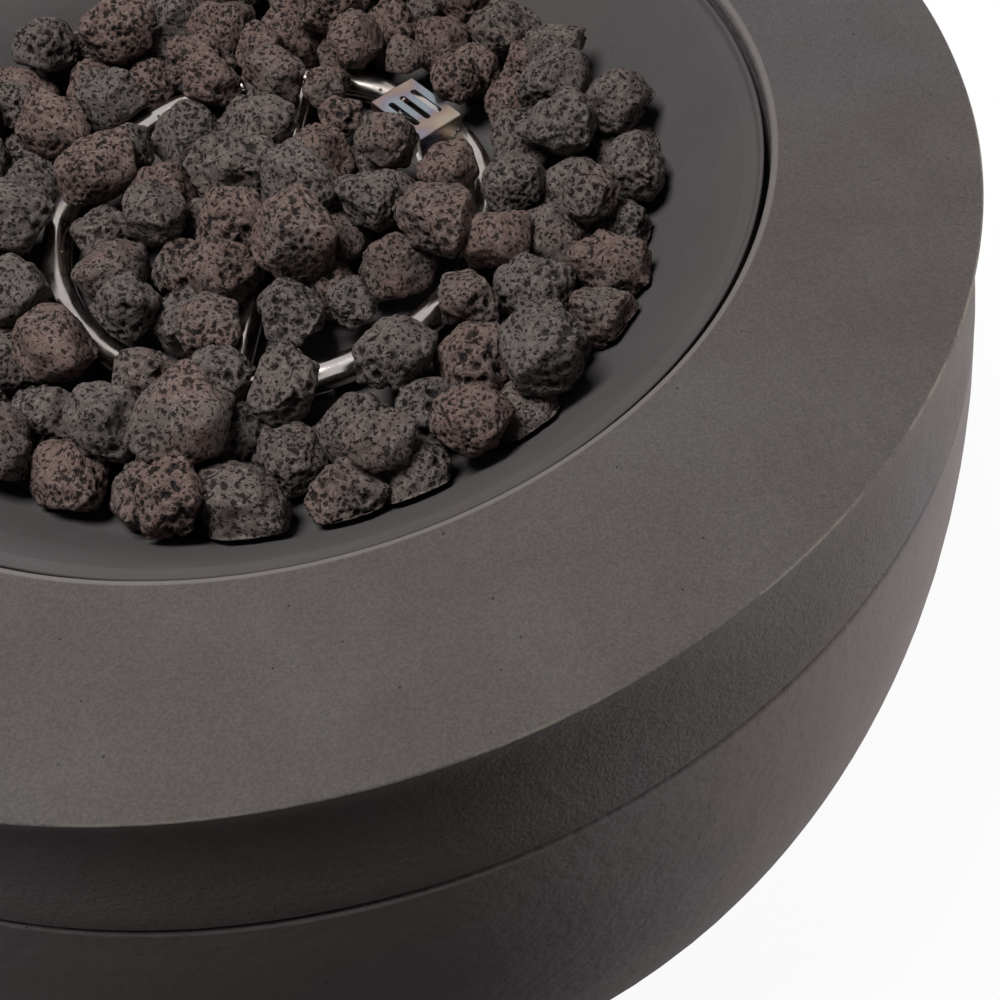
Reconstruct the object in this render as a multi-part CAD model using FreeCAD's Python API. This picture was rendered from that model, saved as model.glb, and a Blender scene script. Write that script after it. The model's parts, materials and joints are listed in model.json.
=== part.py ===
import FreeCAD, Part
import itertools
import math
import os
import random
from FreeCAD import Vector

# A round gas fire pit table in cast stone. Millimetres, +Z up, origin on the
# floor under the centre. The controls face +Y, and -Y is the side seen first.

# Overall size
table_d = 710.0          # outside diameter of the top face
table_h = 480.0          # floor to the top face
foot_h = 10.0            # rubber foot under the bowl

# Cast top
band_h = 80.0            # top face down to the crease
band_straight = 18.0     # upright stretch at the top of the band
band_flare = 8.0         # how far the band runs out to the crease
crease_round = 3.0       # rounding of both castings at the crease
edge_chamfer = 1.4
opening_r = 256.0        # wall of the fire opening
lip_round = 5.0
wall_depth = 8.0         # top face down to the rim of the dish
slab_t = 30.0            # thickness of the flat ring
rim_t = 32.0             # thickness of both castings at their joint
opening_wall_t = 20.0    # casting behind the wall of the opening
seat_t = 14.0
tongue_h = 6.0           # raised tongue on the bowl that centres the top
tongue_w = 10.0
tongue_gap = 0.8

# Cast bowl
base_r = 302.0
bowl_bulge = 29.0        # rise of the wall's arc over its chord
bowl_t = 20.0
bowl_floor_t = 24.0
rim_straight = 44.0      # upright stretch inside the rim, for the straps
access_r = 190.0         # opening in the bowl's floor
base_chamfer = 4.0

# Fire dish
dish_gap = 1.0           # dish rim to the wall of the opening
dish_rim_t = 20.0
seat_cover = 8.0         # dish left over the inner edge of the ledge under it
seat_gap = 2.0
dish_t = 13.0
dish_depth = 74.0        # top face down to the dish floor
dish_floor_r = 200.0
dish_floor_blend = 32.0
shoulder_in = 8.0        # wall of the opening in to the dish's shoulder
shoulder_drop = 7.0      # rim of the dish down to its shoulder
bead_w = 3.0             # raised bead round the rim of the dish
cove_r = 2.4             # hollow between the bead and the shoulder
shoulder_round = 3.0

# Ring burner
ring_r = 112.0           # centreline of the ring tube
tube_d = 16.0
tube_wall = 1.0
burner_lift = 4.0        # dish floor to the underside of the tube
bar_d = 13.0             # crossbar that feeds the ring
bar_angle = 70.0
hub_d = 32.0
stub_d = 21.0
stub_bore = 15.0
port_d = 2.4
port_count = 36
port_tilt = 35.0         # ports lean in from straight up
burner_foot_count = 4
burner_foot_l = 14.0
burner_foot_w = 12.0
burner_foot_turn = 0.0   # direction of the first foot

# Pilot group beside the ring
pilot_angle = 25.0
pilot_r = 98.0
hood_l = 44.0
hood_w = 28.0
hood_top = 30.0          # dish floor to the top of the hood
hood_tube_gap = 1.5      # hood ends to the ring tube
sheet_t = 1.2
slot_l = 25.0
slot_w = 3.6
slot_pitch = 7.6
pilot_plate_l = 66.0
pilot_plate_w = 24.0
probe_spread = 18.0      # electrode to flame sensor
probe_in = 4.0           # both stand this far inside the group's centre
ceramic_d = 7.0
spark_rod_d = 2.0
sensor_d = 6.0
pilot_hole_l = 32.0
pilot_hole_w = 13.0

# Gas train under the dish
nut_t = 8.0
nut_flats = 32.0
washer_t = 2.0
washer_d = 46.0
mixer_d = 28.0
mixer_wall = 2.0
mixer_h = 66.0
mixer_grip = 13.0        # overlap of the mixer on the burner's stub
mixer_collar_h = 8.0
mixer_window_w = 9.0
mixer_window_h = 16.0
jet_d = 12.0
jet_h = 20.0
jet_bore = 1.6
elbow_a = 22.0
pipe_d = 8.0
pipe_bore = 6.0
fitting_d = 14.0
fitting_l = 12.0

# Control niche and panel
niche_w = 170.0
niche_h = 82.0
niche_drop = 81.0        # crease down to the centre of the niche
niche_depth = 42.0
niche_wall = 16.0
niche_round = 12.0
panel_w = 160.0
panel_h = 74.0
panel_t = 2.0
panel_round = 6.0
panel_screw_dx = 144.0
panel_screw_dz = 58.0
window_w = 124.0         # hole through the back of the niche
window_h = 46.0

# Valve and knob
valve_x = -35.0
valve_a = 34.0
valve_l = 58.0
valve_neck_d = 14.0
valve_neck_l = 6.0
valve_screw_dx = 26.4
chamber_d = 20.0
valve_front_t = 6.0
core_l = 26.0
stem_d = 8.0
stem_flat = 3.0          # axis to the flat of the stem
running_gap = 0.05
knob_d = 40.0
knob_l = 22.0
knob_stand = 9.0         # panel to the back of the knob at rest
knob_push = 5.0
knob_cavity_d = 25.0
knob_cavity_l = 5.0
knob_wire_d = 1.0
knob_spring_turns = 4
flute_count = 12
flute_r = 3.0
inlet_d = 15.88          # male flare thread of the hose inlet
inlet_l = 18.0
inlet_bore = 8.0

# Push-button igniter
igniter_x = 38.0
igniter_d = 25.0
igniter_l = 62.0
igniter_bore_d = 16.2
igniter_neck_d = 22.0
igniter_neck_l = 8.0
igniter_nut_d = 30.0
button_proud = 7.0
button_travel = 4.0
button_skirt = 6.0
button_wall = 2.0
button_face_t = 3.0
igniter_wire_d = 0.8
igniter_spring_turns = 6
coil_steps = 28          # facets round one turn of a spring
coil_sides = 8           # facets round its wire
battery_d = 10.5
battery_l = 44.5
igniter_floor = 3.0

# Leads held inside
lead_d = 3.0
wire_d = 4.0

# Straps, plates, feet and screws
strap_count = 6
strap_w = 36.0
strap_h = 42.0
strap_t = 3.0
strap_screw_z = 12.5     # strap screws above and below the joint
plate_r = 212.0
plate_t = 1.5
vent_count = 12
vent_l = 38.0
vent_w = 7.0
vent_r = 128.0
plate_screw_r = 201.0
plate_screw_count = 6
foot_d = 38.0
foot_r = 254.0
foot_count = 4
shield_w = 156.0
shield_l = 118.0
shield_drop = 14.0       # dish underside down to the heat shield
shield_flange = 22.0
hose_hole_z = 66.0
hose_hole_r = 14.0
grommet_bore_r = 8.5
grommet_flange = 5.0
grommet_flange_t = 3.0
screw_m4 = 4.0
screw_m5 = 5.0
screw_m6 = 6.0
screw_fit = 0.2          # radial clearance of a screw in a plate
face_gap = 0.1           # play between pieces that are set together

# Lava rock
rock_count = 136
rock_r_min = 12.5        # radius of the ball that a rock is grown from
rock_r_max = 18.0
rock_growth = 1.6        # farthest corner along the rock, over the radius of the ball
rock_girth = 1.08        # the same, across the rock
rock_gap = 0.6
rock_tries = 400
rock_huddle = 0.25       # pull towards the rocks already there
ring_cover_cost = 14.0   # keeps most of the ring tube uncovered
pile_r = 204.0
rock_seed = 5
rock_rough = 0.16        # how far a corner may fall short of its reach

# Heights and radii worked out from the sizes above
table_r = table_d / 2
crease_z = table_h - band_h
crease_r = table_r + band_flare
rim_in_r = crease_r - rim_t
dish_rim_z = table_h - wall_depth
seat_z = dish_rim_z - dish_rim_t
dish_floor_z = table_h - dish_depth
dish_under_z = dish_floor_z - dish_t
shoulder_r = opening_r - shoulder_in
shoulder_z = dish_rim_z - shoulder_drop
dish_slope = (shoulder_z - dish_floor_z) / (shoulder_r - dish_floor_r)
drop_r = dish_floor_r + (seat_z + seat_cover - dish_floor_z) / dish_slope
seat_r = drop_r + seat_gap
tube_r = tube_d / 2
ring_z = dish_floor_z + burner_lift + tube_r
niche_z = crease_z - niche_drop
stub_foot_z = dish_under_z - washer_t - nut_t - mixer_grip - 4.0
mixer_top_z = stub_foot_z + mixer_grip
mixer_foot_z = mixer_top_z - mixer_h
up = Vector(0, 0, 1)
out = Vector(0, 1, 0)    # the way the controls face


def corner_round(before, corner, after, radius):
    """Start, middle and end of a fillet at one corner of an outline."""
    a = (before - corner).normalize()
    b = (after - corner).normalize()
    half = math.acos(max(-1.0, min(1.0, a.dot(b)))) / 2
    reach = radius / math.tan(half)
    middle = (a + b).normalize() * (radius / math.sin(half) - radius)
    return corner + a * reach, corner + middle, corner + b * reach


def outline(corners):
    """Closed wire through corners (Vector, fillet radius), in one plane."""
    places = [c[0] for c in corners]
    edges = []
    ends = []
    for i, (corner, radius) in enumerate(corners):
        if radius > 0:
            start, middle, end = corner_round(
                places[i - 1], corner, places[(i + 1) % len(places)], radius)
            edges.append(Part.Arc(start, middle, end).toShape())
        else:
            start = end = corner
        ends.append((start, end))
    for i in range(len(ends)):
        a = ends[i][1]
        b = ends[(i + 1) % len(ends)][0]
        if (a - b).Length > 1e-6:
            edges.append(Part.LineSegment(a, b).toShape())
    return Part.Wire(Part.__sortEdges__(edges))


def rz(radius, z):
    return Vector(radius, 0, z)


def turned(wire):
    """Solid of revolution about the table's own axis."""
    solid = Part.Face(wire).revolve(Vector(0, 0, 0), up, 360)
    return tidy(solid)


def turned_outline(corners):
    return turned(outline([(rz(c[0], c[1]), c[2] if len(c) > 2 else 0) for c in corners]))


def tidy(shape):
    """A single forward solid, where the shape holds just one."""
    if shape.ShapeType != "Solid" and len(shape.Solids) == 1:
        shape = shape.Solids[0]
    if shape.Volume < 0:
        shape.reverse()
    return shape


def cylinder(radius, start, direction, length):
    return Part.makeCylinder(radius, length, start, direction)


def ring(outer, inner, start, direction, length):
    return cylinder(outer, start, direction, length).cut(cylinder(inner, start, direction, length))


def box(centre, dx, dy, dz):
    return Part.makeBox(dx, dy, dz, centre - Vector(dx / 2, dy / 2, dz / 2))


def upright_plate(centre_x, centre_z, width, height, radius, y0, y1):
    """Rounded rectangle in X and Z, from y0 to y1."""
    w = width / 2
    h = height / 2
    corners = [(Vector(centre_x + sx * w, y0, centre_z + sz * h), radius)
               for sx, sz in ((-1, -1), (1, -1), (1, 1), (-1, 1))]
    return tidy(Part.Face(outline(corners)).extrude(Vector(0, y1 - y0, 0)))


def hexagon(flats, start, direction, length):
    """Hexagonal bar of a nut, on the Z or Y axis."""
    points = []
    for i in range(6):
        a = math.radians(60 * i)
        c = flats / 2 / math.cos(math.radians(30))
        if abs(direction.z) > 0.5:
            points.append(start + Vector(c * math.cos(a), c * math.sin(a), 0))
        else:
            points.append(start + Vector(c * math.cos(a), 0, c * math.sin(a)))
    return tidy(Part.Face(Part.makePolygon(points + points[:1])).extrude(direction * length))


def polar(radius, degrees, z=0.0):
    a = math.radians(degrees)
    return Vector(radius * math.cos(a), radius * math.sin(a), z)


def spun(shape, degrees):
    copy = shape.copy()
    copy.rotate(Vector(0, 0, 0), up, degrees)
    return copy


def around(shape, count, first=0.0):
    return [spun(shape, first + 360.0 * i / count) for i in range(count)]


def group(shapes):
    return Part.makeCompound([tidy(s) for s in shapes])


def less(shape, cutters):
    return tidy(shape.cut(Part.makeCompound(list(cutters))))


def joined(shapes):
    return tidy(shapes[0].fuse(shapes[1:]).removeSplitter())


def screw(diameter, length, seat, direction):
    """Pan-head screw whose head sits on seat and points along direction."""
    head = cylinder(diameter * 0.95, seat, direction, diameter * 0.6)
    drive = cylinder(diameter * 0.4, seat + direction * diameter * 0.3, direction, diameter * 0.3)
    shank = cylinder(diameter / 2, seat, direction * -1, length)
    return joined([head.cut(drive), shank])


def screw_hole(diameter, seat, direction, depth):
    return cylinder(diameter / 2, seat, direction * -1, depth)


# Bowl wall: one arc from the crease down to the base

bowl_top = rz(crease_r, crease_z - crease_round)
bowl_foot = rz(base_r, foot_h + base_chamfer)


def bulged(a, b, bulge):
    """Point beside the middle of a chord, out and down from it."""
    chord = b - a
    side = Vector(-chord.z, 0, chord.x).normalize()
    if side.x < 0:
        side = side * -1
    return (a + b) * 0.5 + side * bulge


bowl_middle = bulged(bowl_top, bowl_foot, bowl_bulge)
half_chord = (bowl_foot - bowl_top).Length / 2
bowl_arc_r = (half_chord ** 2 + bowl_bulge ** 2) / (2 * bowl_bulge)
bowl_arc_c = bowl_middle - (bowl_middle - (bowl_top + bowl_foot) * 0.5).normalize() * bowl_arc_r


def bowl_radius(z, inset=0.0):
    """Radius of the bowl's wall at a height, inset from the outside."""
    r = bowl_arc_r - inset
    return bowl_arc_c.x + math.sqrt(r ** 2 - (z - bowl_arc_c.z) ** 2)


def bowl_normal(z):
    """Outward direction of the bowl's wall, at the back of the table."""
    n = rz(bowl_radius(z), z) - bowl_arc_c
    n.normalize()
    return Vector(0, n.x, n.z)


niche_back_y = bowl_radius(niche_z) - niche_depth


def bowl_outside():
    """Outside of the bowl as a solid block of revolution."""
    edges = [
        Part.Arc(bowl_top, bowl_middle, bowl_foot),
        Part.LineSegment(bowl_foot, rz(base_r - base_chamfer, foot_h)),
        Part.LineSegment(rz(base_r - base_chamfer, foot_h), rz(0, foot_h)),
        Part.LineSegment(rz(0, foot_h), rz(0, crease_z)),
        Part.LineSegment(rz(0, crease_z), rz(crease_r - crease_round, crease_z)),
        quarter(rz(crease_r - crease_round, crease_z), bowl_top),
    ]
    return turned(Part.Wire([e.toShape() for e in edges]))


def quarter(a, b):
    """Quarter arc between two points, bulging away from the axis."""
    corner = rz(max(a.x, b.x), a.z if a.x < b.x else b.z)
    centre = rz(min(a.x, b.x), b.z if a.x < b.x else a.z)
    radius = (a - centre).Length
    middle = centre + (corner - centre).normalize() * radius
    return Part.Arc(a, middle, b)


def bowl_inside():
    """Hollow of the bowl, from its floor up past the rim."""
    floor_z = foot_h + bowl_floor_t
    shelf_z = crease_z - rim_straight
    low = rz(bowl_radius(floor_z, bowl_t), floor_z)
    high = rz(bowl_radius(shelf_z, bowl_t), shelf_z)
    mid_z = (floor_z + shelf_z) / 2
    middle = rz(bowl_radius(mid_z, bowl_t), mid_z)
    top_z = crease_z + tongue_h + 1.0
    edges = [
        Part.LineSegment(rz(0, floor_z), low),
        Part.Arc(low, middle, high),
        Part.LineSegment(high, rz(rim_in_r, shelf_z)),
        Part.LineSegment(rz(rim_in_r, shelf_z), rz(rim_in_r, top_z)),
        Part.LineSegment(rz(rim_in_r, top_z), rz(0, top_z)),
        Part.LineSegment(rz(0, top_z), rz(0, floor_z)),
    ]
    edges = [e for e in edges if e.StartPoint.sub(e.EndPoint).Length > 1e-6]
    return turned(Part.Wire([e.toShape() for e in edges]))


def strap_angles():
    return [360.0 * i / strap_count for i in range(strap_count)]


def strap_holes(shift):
    """Blind holes for the strap screws, above or below the joint."""
    z = crease_z + shift
    hole = cylinder(screw_m6 / 2, rz(rim_in_r - 1.0, z), Vector(1, 0, 0), 17.0)
    return [spun(hole, a) for a in strap_angles()]


def tabletop():
    low = rz(crease_r, crease_z + crease_round)
    high = rz(table_r, table_h - band_straight)
    middle = rz(table_r + band_flare / 4, (low.z + high.z) / 2)
    under = table_h - slab_t
    hung = opening_r + opening_wall_t
    tongue_r = rim_in_r + tongue_w + tongue_gap
    tongue_z = crease_z + tongue_h + tongue_gap
    round_in = rz(opening_r + lip_round, table_h)
    round_out = rz(opening_r, table_h - lip_round)
    round_mid = rz(round_in.x, round_out.z) + Vector(-1, 0, 1).normalize() * lip_round
    edges = [
        quarter(rz(crease_r - crease_round, crease_z), low),
        Part.Arc(low, middle, high),
    ]
    path = [high, rz(table_r, table_h - edge_chamfer), rz(table_r - edge_chamfer, table_h), round_in]
    edges += [Part.LineSegment(a, b) for a, b in zip(path, path[1:])]
    edges.append(Part.Arc(round_in, round_mid, round_out))
    path = [
        round_out, rz(opening_r, seat_z), rz(seat_r, seat_z), rz(seat_r, seat_z - seat_t),
        rz(hung, seat_z - seat_t), rz(hung, under), rz(rim_in_r, under), rz(rim_in_r, tongue_z),
        rz(tongue_r, tongue_z), rz(tongue_r, crease_z), rz(crease_r - crease_round, crease_z),
    ]
    edges += [Part.LineSegment(a, b) for a, b in zip(path, path[1:])]
    solid = turned(Part.Wire([e.toShape() for e in edges]))
    return less(solid, strap_holes(strap_screw_z))


def bowl_shell():
    outside = bowl_outside()
    tongue = ring(rim_in_r + tongue_w, rim_in_r, rz(0, crease_z), up, tongue_h)
    block_front = bowl_radius(niche_z + niche_h / 2) + niche_wall
    block = upright_plate(0, niche_z, niche_w + 2 * niche_wall, niche_h + 2 * niche_wall,
                          niche_round + niche_wall, niche_back_y - niche_wall, block_front)
    shell = outside.cut(bowl_inside())
    shell = joined([shell, tongue, block.common(outside)])
    cutters = [
        upright_plate(0, niche_z, niche_w, niche_h, niche_round, niche_back_y, block_front + 20),
        upright_plate(0, niche_z, window_w, window_h, panel_round,
                      niche_back_y - niche_wall - 1, niche_back_y + 1),
        cylinder(access_r, rz(0, 0), up, foot_h + bowl_floor_t + 1),
        cylinder(hose_hole_r, hose_point(-60.0), bowl_normal(hose_hole_z), 120.0),
    ]
    for x, z in panel_screw_places():
        cutters.append(screw_hole(screw_m4, Vector(x, niche_back_y, z), out, 13.0))
    for z in shield_screw_heights():
        for x in shield_screw_columns():
            cutters.append(cylinder(screw_m4 / 2, Vector(x, niche_back_y - niche_wall, z), out, 10.0))
    cutters += strap_holes(-strap_screw_z)
    cutters += around(cylinder(screw_m5 / 2, rz(plate_screw_r, 0), up, foot_h + 16),
                      plate_screw_count, 30)
    cutters += around(cylinder(screw_m5 / 2, rz(foot_r, 0), up, foot_h + 16), foot_count, 45)
    return less(shell, cutters)


def hose_point(along):
    """Point on the axis of the hose hole, measured out from the wall."""
    start = Vector(0, bowl_radius(hose_hole_z), hose_hole_z)
    return start + bowl_normal(hose_hole_z) * along


def hose_grommet():
    n = bowl_normal(hose_hole_z)
    body_r = hose_hole_r - face_gap
    flange_r = hose_hole_r + grommet_flange
    inner = -bowl_t - 1.6
    shape = joined([
        cylinder(flange_r, hose_point(face_gap), n, grommet_flange_t),
        cylinder(body_r, hose_point(inner), n, face_gap - inner),
        cylinder(flange_r, hose_point(inner - grommet_flange_t), n, grommet_flange_t),
    ])
    bore = cylinder(grommet_bore_r, hose_point(inner - grommet_flange_t - 1), n, 60.0)
    return less(shape, [bore])


def joint_strap():
    z0 = crease_z - strap_h / 2
    x = rim_in_r - strap_t
    flat_x = math.sqrt(rim_in_r ** 2 - (strap_w / 2) ** 2) - strap_t - face_gap
    plate = Part.makeBox(x - flat_x + strap_t + 2, strap_w, strap_h, Vector(flat_x, -strap_w / 2, z0))
    plate = plate.common(cylinder(rim_in_r - face_gap, rz(0, z0), up, strap_h))
    holes = [cylinder(screw_m6 / 2 + screw_fit, rz(flat_x - 5, crease_z + s), Vector(1, 0, 0), 30)
             for s in (-strap_screw_z, strap_screw_z)]
    return less(plate, holes), flat_x


def joint_straps():
    plate, flat_x = joint_strap()
    return group([spun(plate, a) for a in strap_angles()])


def joint_strap_screws():
    plate, flat_x = joint_strap()
    screws = []
    for s in (-strap_screw_z, strap_screw_z):
        piece = screw(screw_m6, rim_in_r - flat_x + 13, rz(flat_x, crease_z + s), Vector(-1, 0, 0))
        screws += [spun(piece, a) for a in strap_angles()]
    return group(screws)


# Fire dish

def dish_line_z(radius):
    return dish_floor_z + (radius - dish_floor_r) * dish_slope


def dish_top_z(radius, lift=0.0):
    """Height of the dish's upper face, or of a point that stays lift above it."""
    angle = math.atan(dish_slope)
    run = radius - dish_floor_r + dish_floor_blend * math.tan(angle / 2)
    curve = dish_floor_blend - lift
    on_slope = dish_line_z(radius) + lift / math.cos(angle)
    if curve <= 0:
        return max(dish_floor_z + lift, on_slope)
    if run <= 0:
        return dish_floor_z + lift
    if run >= curve * math.sin(angle):
        return on_slope
    return dish_floor_z + dish_floor_blend - math.sqrt(curve ** 2 - run ** 2)


def fire_dish():
    rim_r = opening_r - dish_gap
    bead_r = rim_r - bead_w
    slant = dish_t * math.sqrt(1 + dish_slope ** 2)
    under_r = dish_floor_r + dish_t * (math.sqrt(1 + dish_slope ** 2) - 1) / dish_slope
    hole_r = stub_d / 2 + 1.0
    corners = [
        (hole_r, dish_under_z), (under_r, dish_under_z, dish_floor_blend),
        (drop_r, dish_line_z(drop_r) - slant), (drop_r, seat_z), (rim_r, seat_z),
        (rim_r, dish_rim_z, bead_w * 0.45), (bead_r, dish_rim_z, bead_w * 0.45),
        (bead_r - shoulder_drop * 0.1, shoulder_z, cove_r), (shoulder_r, shoulder_z, shoulder_round),
        (dish_floor_r, dish_floor_z, dish_floor_blend),
        (hole_r, dish_floor_z),
    ]
    solid = turned_outline(corners)
    slot = upright_slot(pilot_hole_w, pilot_hole_l, dish_under_z - 1, dish_floor_z + 1)
    slot.translate(Vector(-probe_in, 0, 0))
    cutters = [pilot_place(slot)]
    for v in (-1, 1):
        seat = Vector(0, v * pilot_screw_offset(), dish_floor_z + sheet_t)
        cutters.append(pilot_place(screw_hole(screw_m4, seat, up, 9.0)))
    return less(solid, cutters)


# Pilot group: hood, plate, spark electrode and flame sensor, made along X
# (away from the axis) and Y (along the ring), then set beside the ring

def pilot_place(shape):
    copy = shape.copy()
    copy.translate(Vector(pilot_r, 0, 0))
    copy.rotate(Vector(0, 0, 0), up, pilot_angle)
    return copy


def pilot_point(x, y, z):
    return polar(math.hypot(pilot_r + x, y), pilot_angle + math.degrees(math.atan2(y, pilot_r + x)), z)


def upright_slot(width, length, z0, z1):
    """Slot along Y with round ends, from z0 to z1."""
    w = width / 2
    l = length / 2
    corners = [(Vector(sx * w, sy * l, z0), w * 0.99) for sx, sy in ((-1, -1), (1, -1), (1, 1), (-1, 1))]
    return tidy(Part.Face(outline(corners)).extrude(Vector(0, 0, z1 - z0)))


def pilot_screw_offset():
    return (hood_l + pilot_plate_l) / 4


def pilot_plate():
    plate = box(Vector(0, 0, dish_floor_z + sheet_t / 2), pilot_plate_w, pilot_plate_l, sheet_t)
    holes = []
    for sign, diameter in ((-1, ceramic_d), (1, sensor_d)):
        place = Vector(-probe_in, sign * probe_spread / 2, dish_floor_z - 1)
        holes.append(cylinder(diameter / 2 + face_gap, place, up, 5))
    for v in (-1, 1):
        place = Vector(0, v * pilot_screw_offset(), dish_floor_z - 1)
        holes.append(cylinder(screw_m4 / 2 + screw_fit, place, up, 5))
    return pilot_place(less(plate, holes))


def igniter_hood():
    top_z = dish_floor_z + hood_top
    foot_z = dish_floor_z + sheet_t
    top = box(Vector(0, 0, top_z - sheet_t / 2), hood_w, hood_l, sheet_t)
    slots = [upright_slot(slot_w, slot_l, top_z - 5, top_z + 5) for i in range(3)]
    for i, cut in enumerate(slots):
        cut.translate(Vector((i - 1) * slot_pitch, 0, 0))
    pieces = [less(top, slots)]
    for side in (-1, 1):
        y = side * (hood_l - sheet_t) / 2
        pieces.append(box(Vector(0, y, (top_z + foot_z) / 2), hood_w, sheet_t, top_z - foot_z))
        tab_l = (pilot_plate_l - hood_l) / 2
        y = side * (hood_l + tab_l) / 2
        pieces.append(box(Vector(-3, y, foot_z + sheet_t / 2), hood_w - 10, tab_l + 0.2, sheet_t))
    hood = joined(pieces)
    # the ring tube runs through both folded ends
    axis_foot = Vector(-pilot_r, 0, foot_z - 1)
    reach = tube_r + hood_tube_gap
    notch = [
        Part.makeTorus(ring_r, reach, Vector(-pilot_r, 0, ring_z)),
        ring(ring_r + reach, ring_r - reach, axis_foot, up, ring_z - axis_foot.z),
    ]
    tabs = [cylinder(screw_m4 / 2 + screw_fit, Vector(0, v * pilot_screw_offset(), foot_z - 1), up, 5)
            for v in (-1, 1)]
    return pilot_place(less(hood, notch + tabs))


def pilot_screws():
    seat_z0 = dish_floor_z + 2 * sheet_t
    return group([pilot_place(screw(screw_m4, 9.0, Vector(0, v * pilot_screw_offset(), seat_z0), up))
                  for v in (-1, 1)])


def spark_insulator():
    place = Vector(-probe_in, -probe_spread / 2, dish_under_z - 8)
    body = cylinder(ceramic_d / 2, place, up, 37.0)
    collar = cylinder(ceramic_d / 2 + 1.5, Vector(place.x, place.y, dish_floor_z + sheet_t), up, 2.5)
    return pilot_place(less(joined([body, collar]), [cylinder(spark_rod_d / 2, place, up, 60)]))


def spark_rod():
    """Straight up through the insulator, then over towards the ring."""
    foot = Vector(-probe_in, -probe_spread / 2, dish_under_z - 8)
    top_z = ring_z + 5
    rise = cylinder(spark_rod_d / 2, foot, up, top_z - foot.z)
    tip = cylinder(spark_rod_d / 2, Vector(foot.x, foot.y, top_z), Vector(1, 0, 0),
                   ring_r - pilot_r - tube_r - foot.x - 3.0)
    ball = Part.makeSphere(spark_rod_d / 2, Vector(foot.x, foot.y, top_z))
    return pilot_place(joined([rise, ball, tip]))


def flame_sensor():
    foot = Vector(-probe_in, probe_spread / 2, dish_under_z - 8)
    body = cylinder(sensor_d / 2, foot, up, ring_z - foot.z - 4)
    collar = cylinder(sensor_d / 2 + 1.5, Vector(foot.x, foot.y, dish_floor_z + sheet_t), up, 2.5)
    tip = cylinder(sensor_d / 3, Vector(foot.x, foot.y, ring_z - 4), up, 12)
    return pilot_place(joined([body, collar, tip]))


# Ring burner

def burner_ring():
    outer = Part.makeTorus(ring_r, tube_r, rz(0, ring_z))
    inner = Part.makeTorus(ring_r, tube_r - tube_wall, rz(0, ring_z))
    along = polar(1, bar_angle)
    bar = cylinder(bar_d / 2, along * -ring_r + rz(0, ring_z), along, 2 * ring_r)
    bore = cylinder(bar_d / 2 - tube_wall, along * -ring_r + rz(0, ring_z), along, 2 * ring_r)
    hub_foot = dish_floor_z + 0.5
    hub = cylinder(hub_d / 2, rz(0, hub_foot), up, ring_z + bar_d / 2 + 1 - hub_foot)
    stub = cylinder(stub_d / 2, rz(0, stub_foot_z), up, hub_foot - stub_foot_z + 1)
    supply = cylinder(stub_bore / 2, rz(0, stub_foot_z), up, ring_z - stub_foot_z)
    body = outer.fuse([bar, hub, stub])
    body = body.cut(inner).cut(bore).cut(supply)
    port = cylinder(port_d / 2, rz(ring_r, ring_z),
                    Vector(-math.sin(math.radians(port_tilt)), 0, math.cos(math.radians(port_tilt))),
                    tube_r + 2)
    # the two ends of the crossbar fall midway between ports
    return less(tidy(body), around(port, port_count, bar_angle + 180.0 / port_count))


def burner_feet():
    foot_top = ring_z - tube_r + 2
    block = box(rz(ring_r, (dish_floor_z + foot_top) / 2), burner_foot_w, burner_foot_l,
                foot_top - dish_floor_z)
    return group([less(f, [Part.makeTorus(ring_r, tube_r, rz(0, ring_z))])
                  for f in around(block, burner_foot_count, burner_foot_turn)])


def burner_washer():
    return ring(washer_d / 2, stub_d / 2 + face_gap, rz(0, dish_under_z - washer_t), up, washer_t)


def burner_nut():
    z = dish_under_z - washer_t - nut_t
    return less(hexagon(nut_flats, rz(0, z), up, nut_t), [cylinder(stub_d / 2, rz(0, z), up, nut_t)])


def air_mixer():
    body = cylinder(mixer_d / 2, rz(0, mixer_foot_z), up, mixer_h)
    inside = cylinder(mixer_d / 2 - mixer_wall, rz(0, mixer_foot_z + mixer_collar_h), up,
                      mixer_h - mixer_collar_h - mixer_grip - 3)
    socket = cylinder(stub_d / 2, rz(0, mixer_top_z - mixer_grip), up, mixer_grip)
    throat = cylinder(stub_bore / 2, rz(0, mixer_foot_z + 20), up, mixer_h - 20)
    seat = cylinder(jet_d / 2, rz(0, mixer_foot_z), up, mixer_collar_h)
    window = box(rz(mixer_d / 2, mixer_foot_z + mixer_collar_h + 4 + mixer_window_h / 2),
                 4 * mixer_wall, mixer_window_w, mixer_window_h)
    return less(body, [inside, socket, throat, seat] + around(window, 4))


def gas_jet():
    foot = mixer_foot_z - 4.0
    shape = cylinder(jet_d / 2, rz(0, foot), up, jet_h)
    return less(shape, [cylinder(jet_bore / 2, rz(0, foot), up, jet_h),
                        cylinder(pipe_bore / 2, rz(0, foot), up, jet_h - 5)])


def gas_elbow():
    top_z = mixer_foot_z - 0.2
    centre = rz(0, top_z - elbow_a / 2)
    block = box(centre, elbow_a, elbow_a, elbow_a)
    neck = cylinder(fitting_d / 2, centre + out * elbow_a / 2, out, fitting_l)
    jet_seat = cylinder(jet_d / 2, rz(0, mixer_foot_z - 4.0), up, 10)
    rise = cylinder(pipe_bore / 2, centre, up, elbow_a)
    feed = cylinder(pipe_bore / 2, centre, out, elbow_a)
    socket = cylinder(pipe_d / 2, centre + out * (elbow_a / 2 + 2), out, fitting_l)
    return less(joined([block, neck]), [jet_seat, rise, feed, socket]), centre


# Leads and pipes: straight runs joined by tangent arcs

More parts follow.
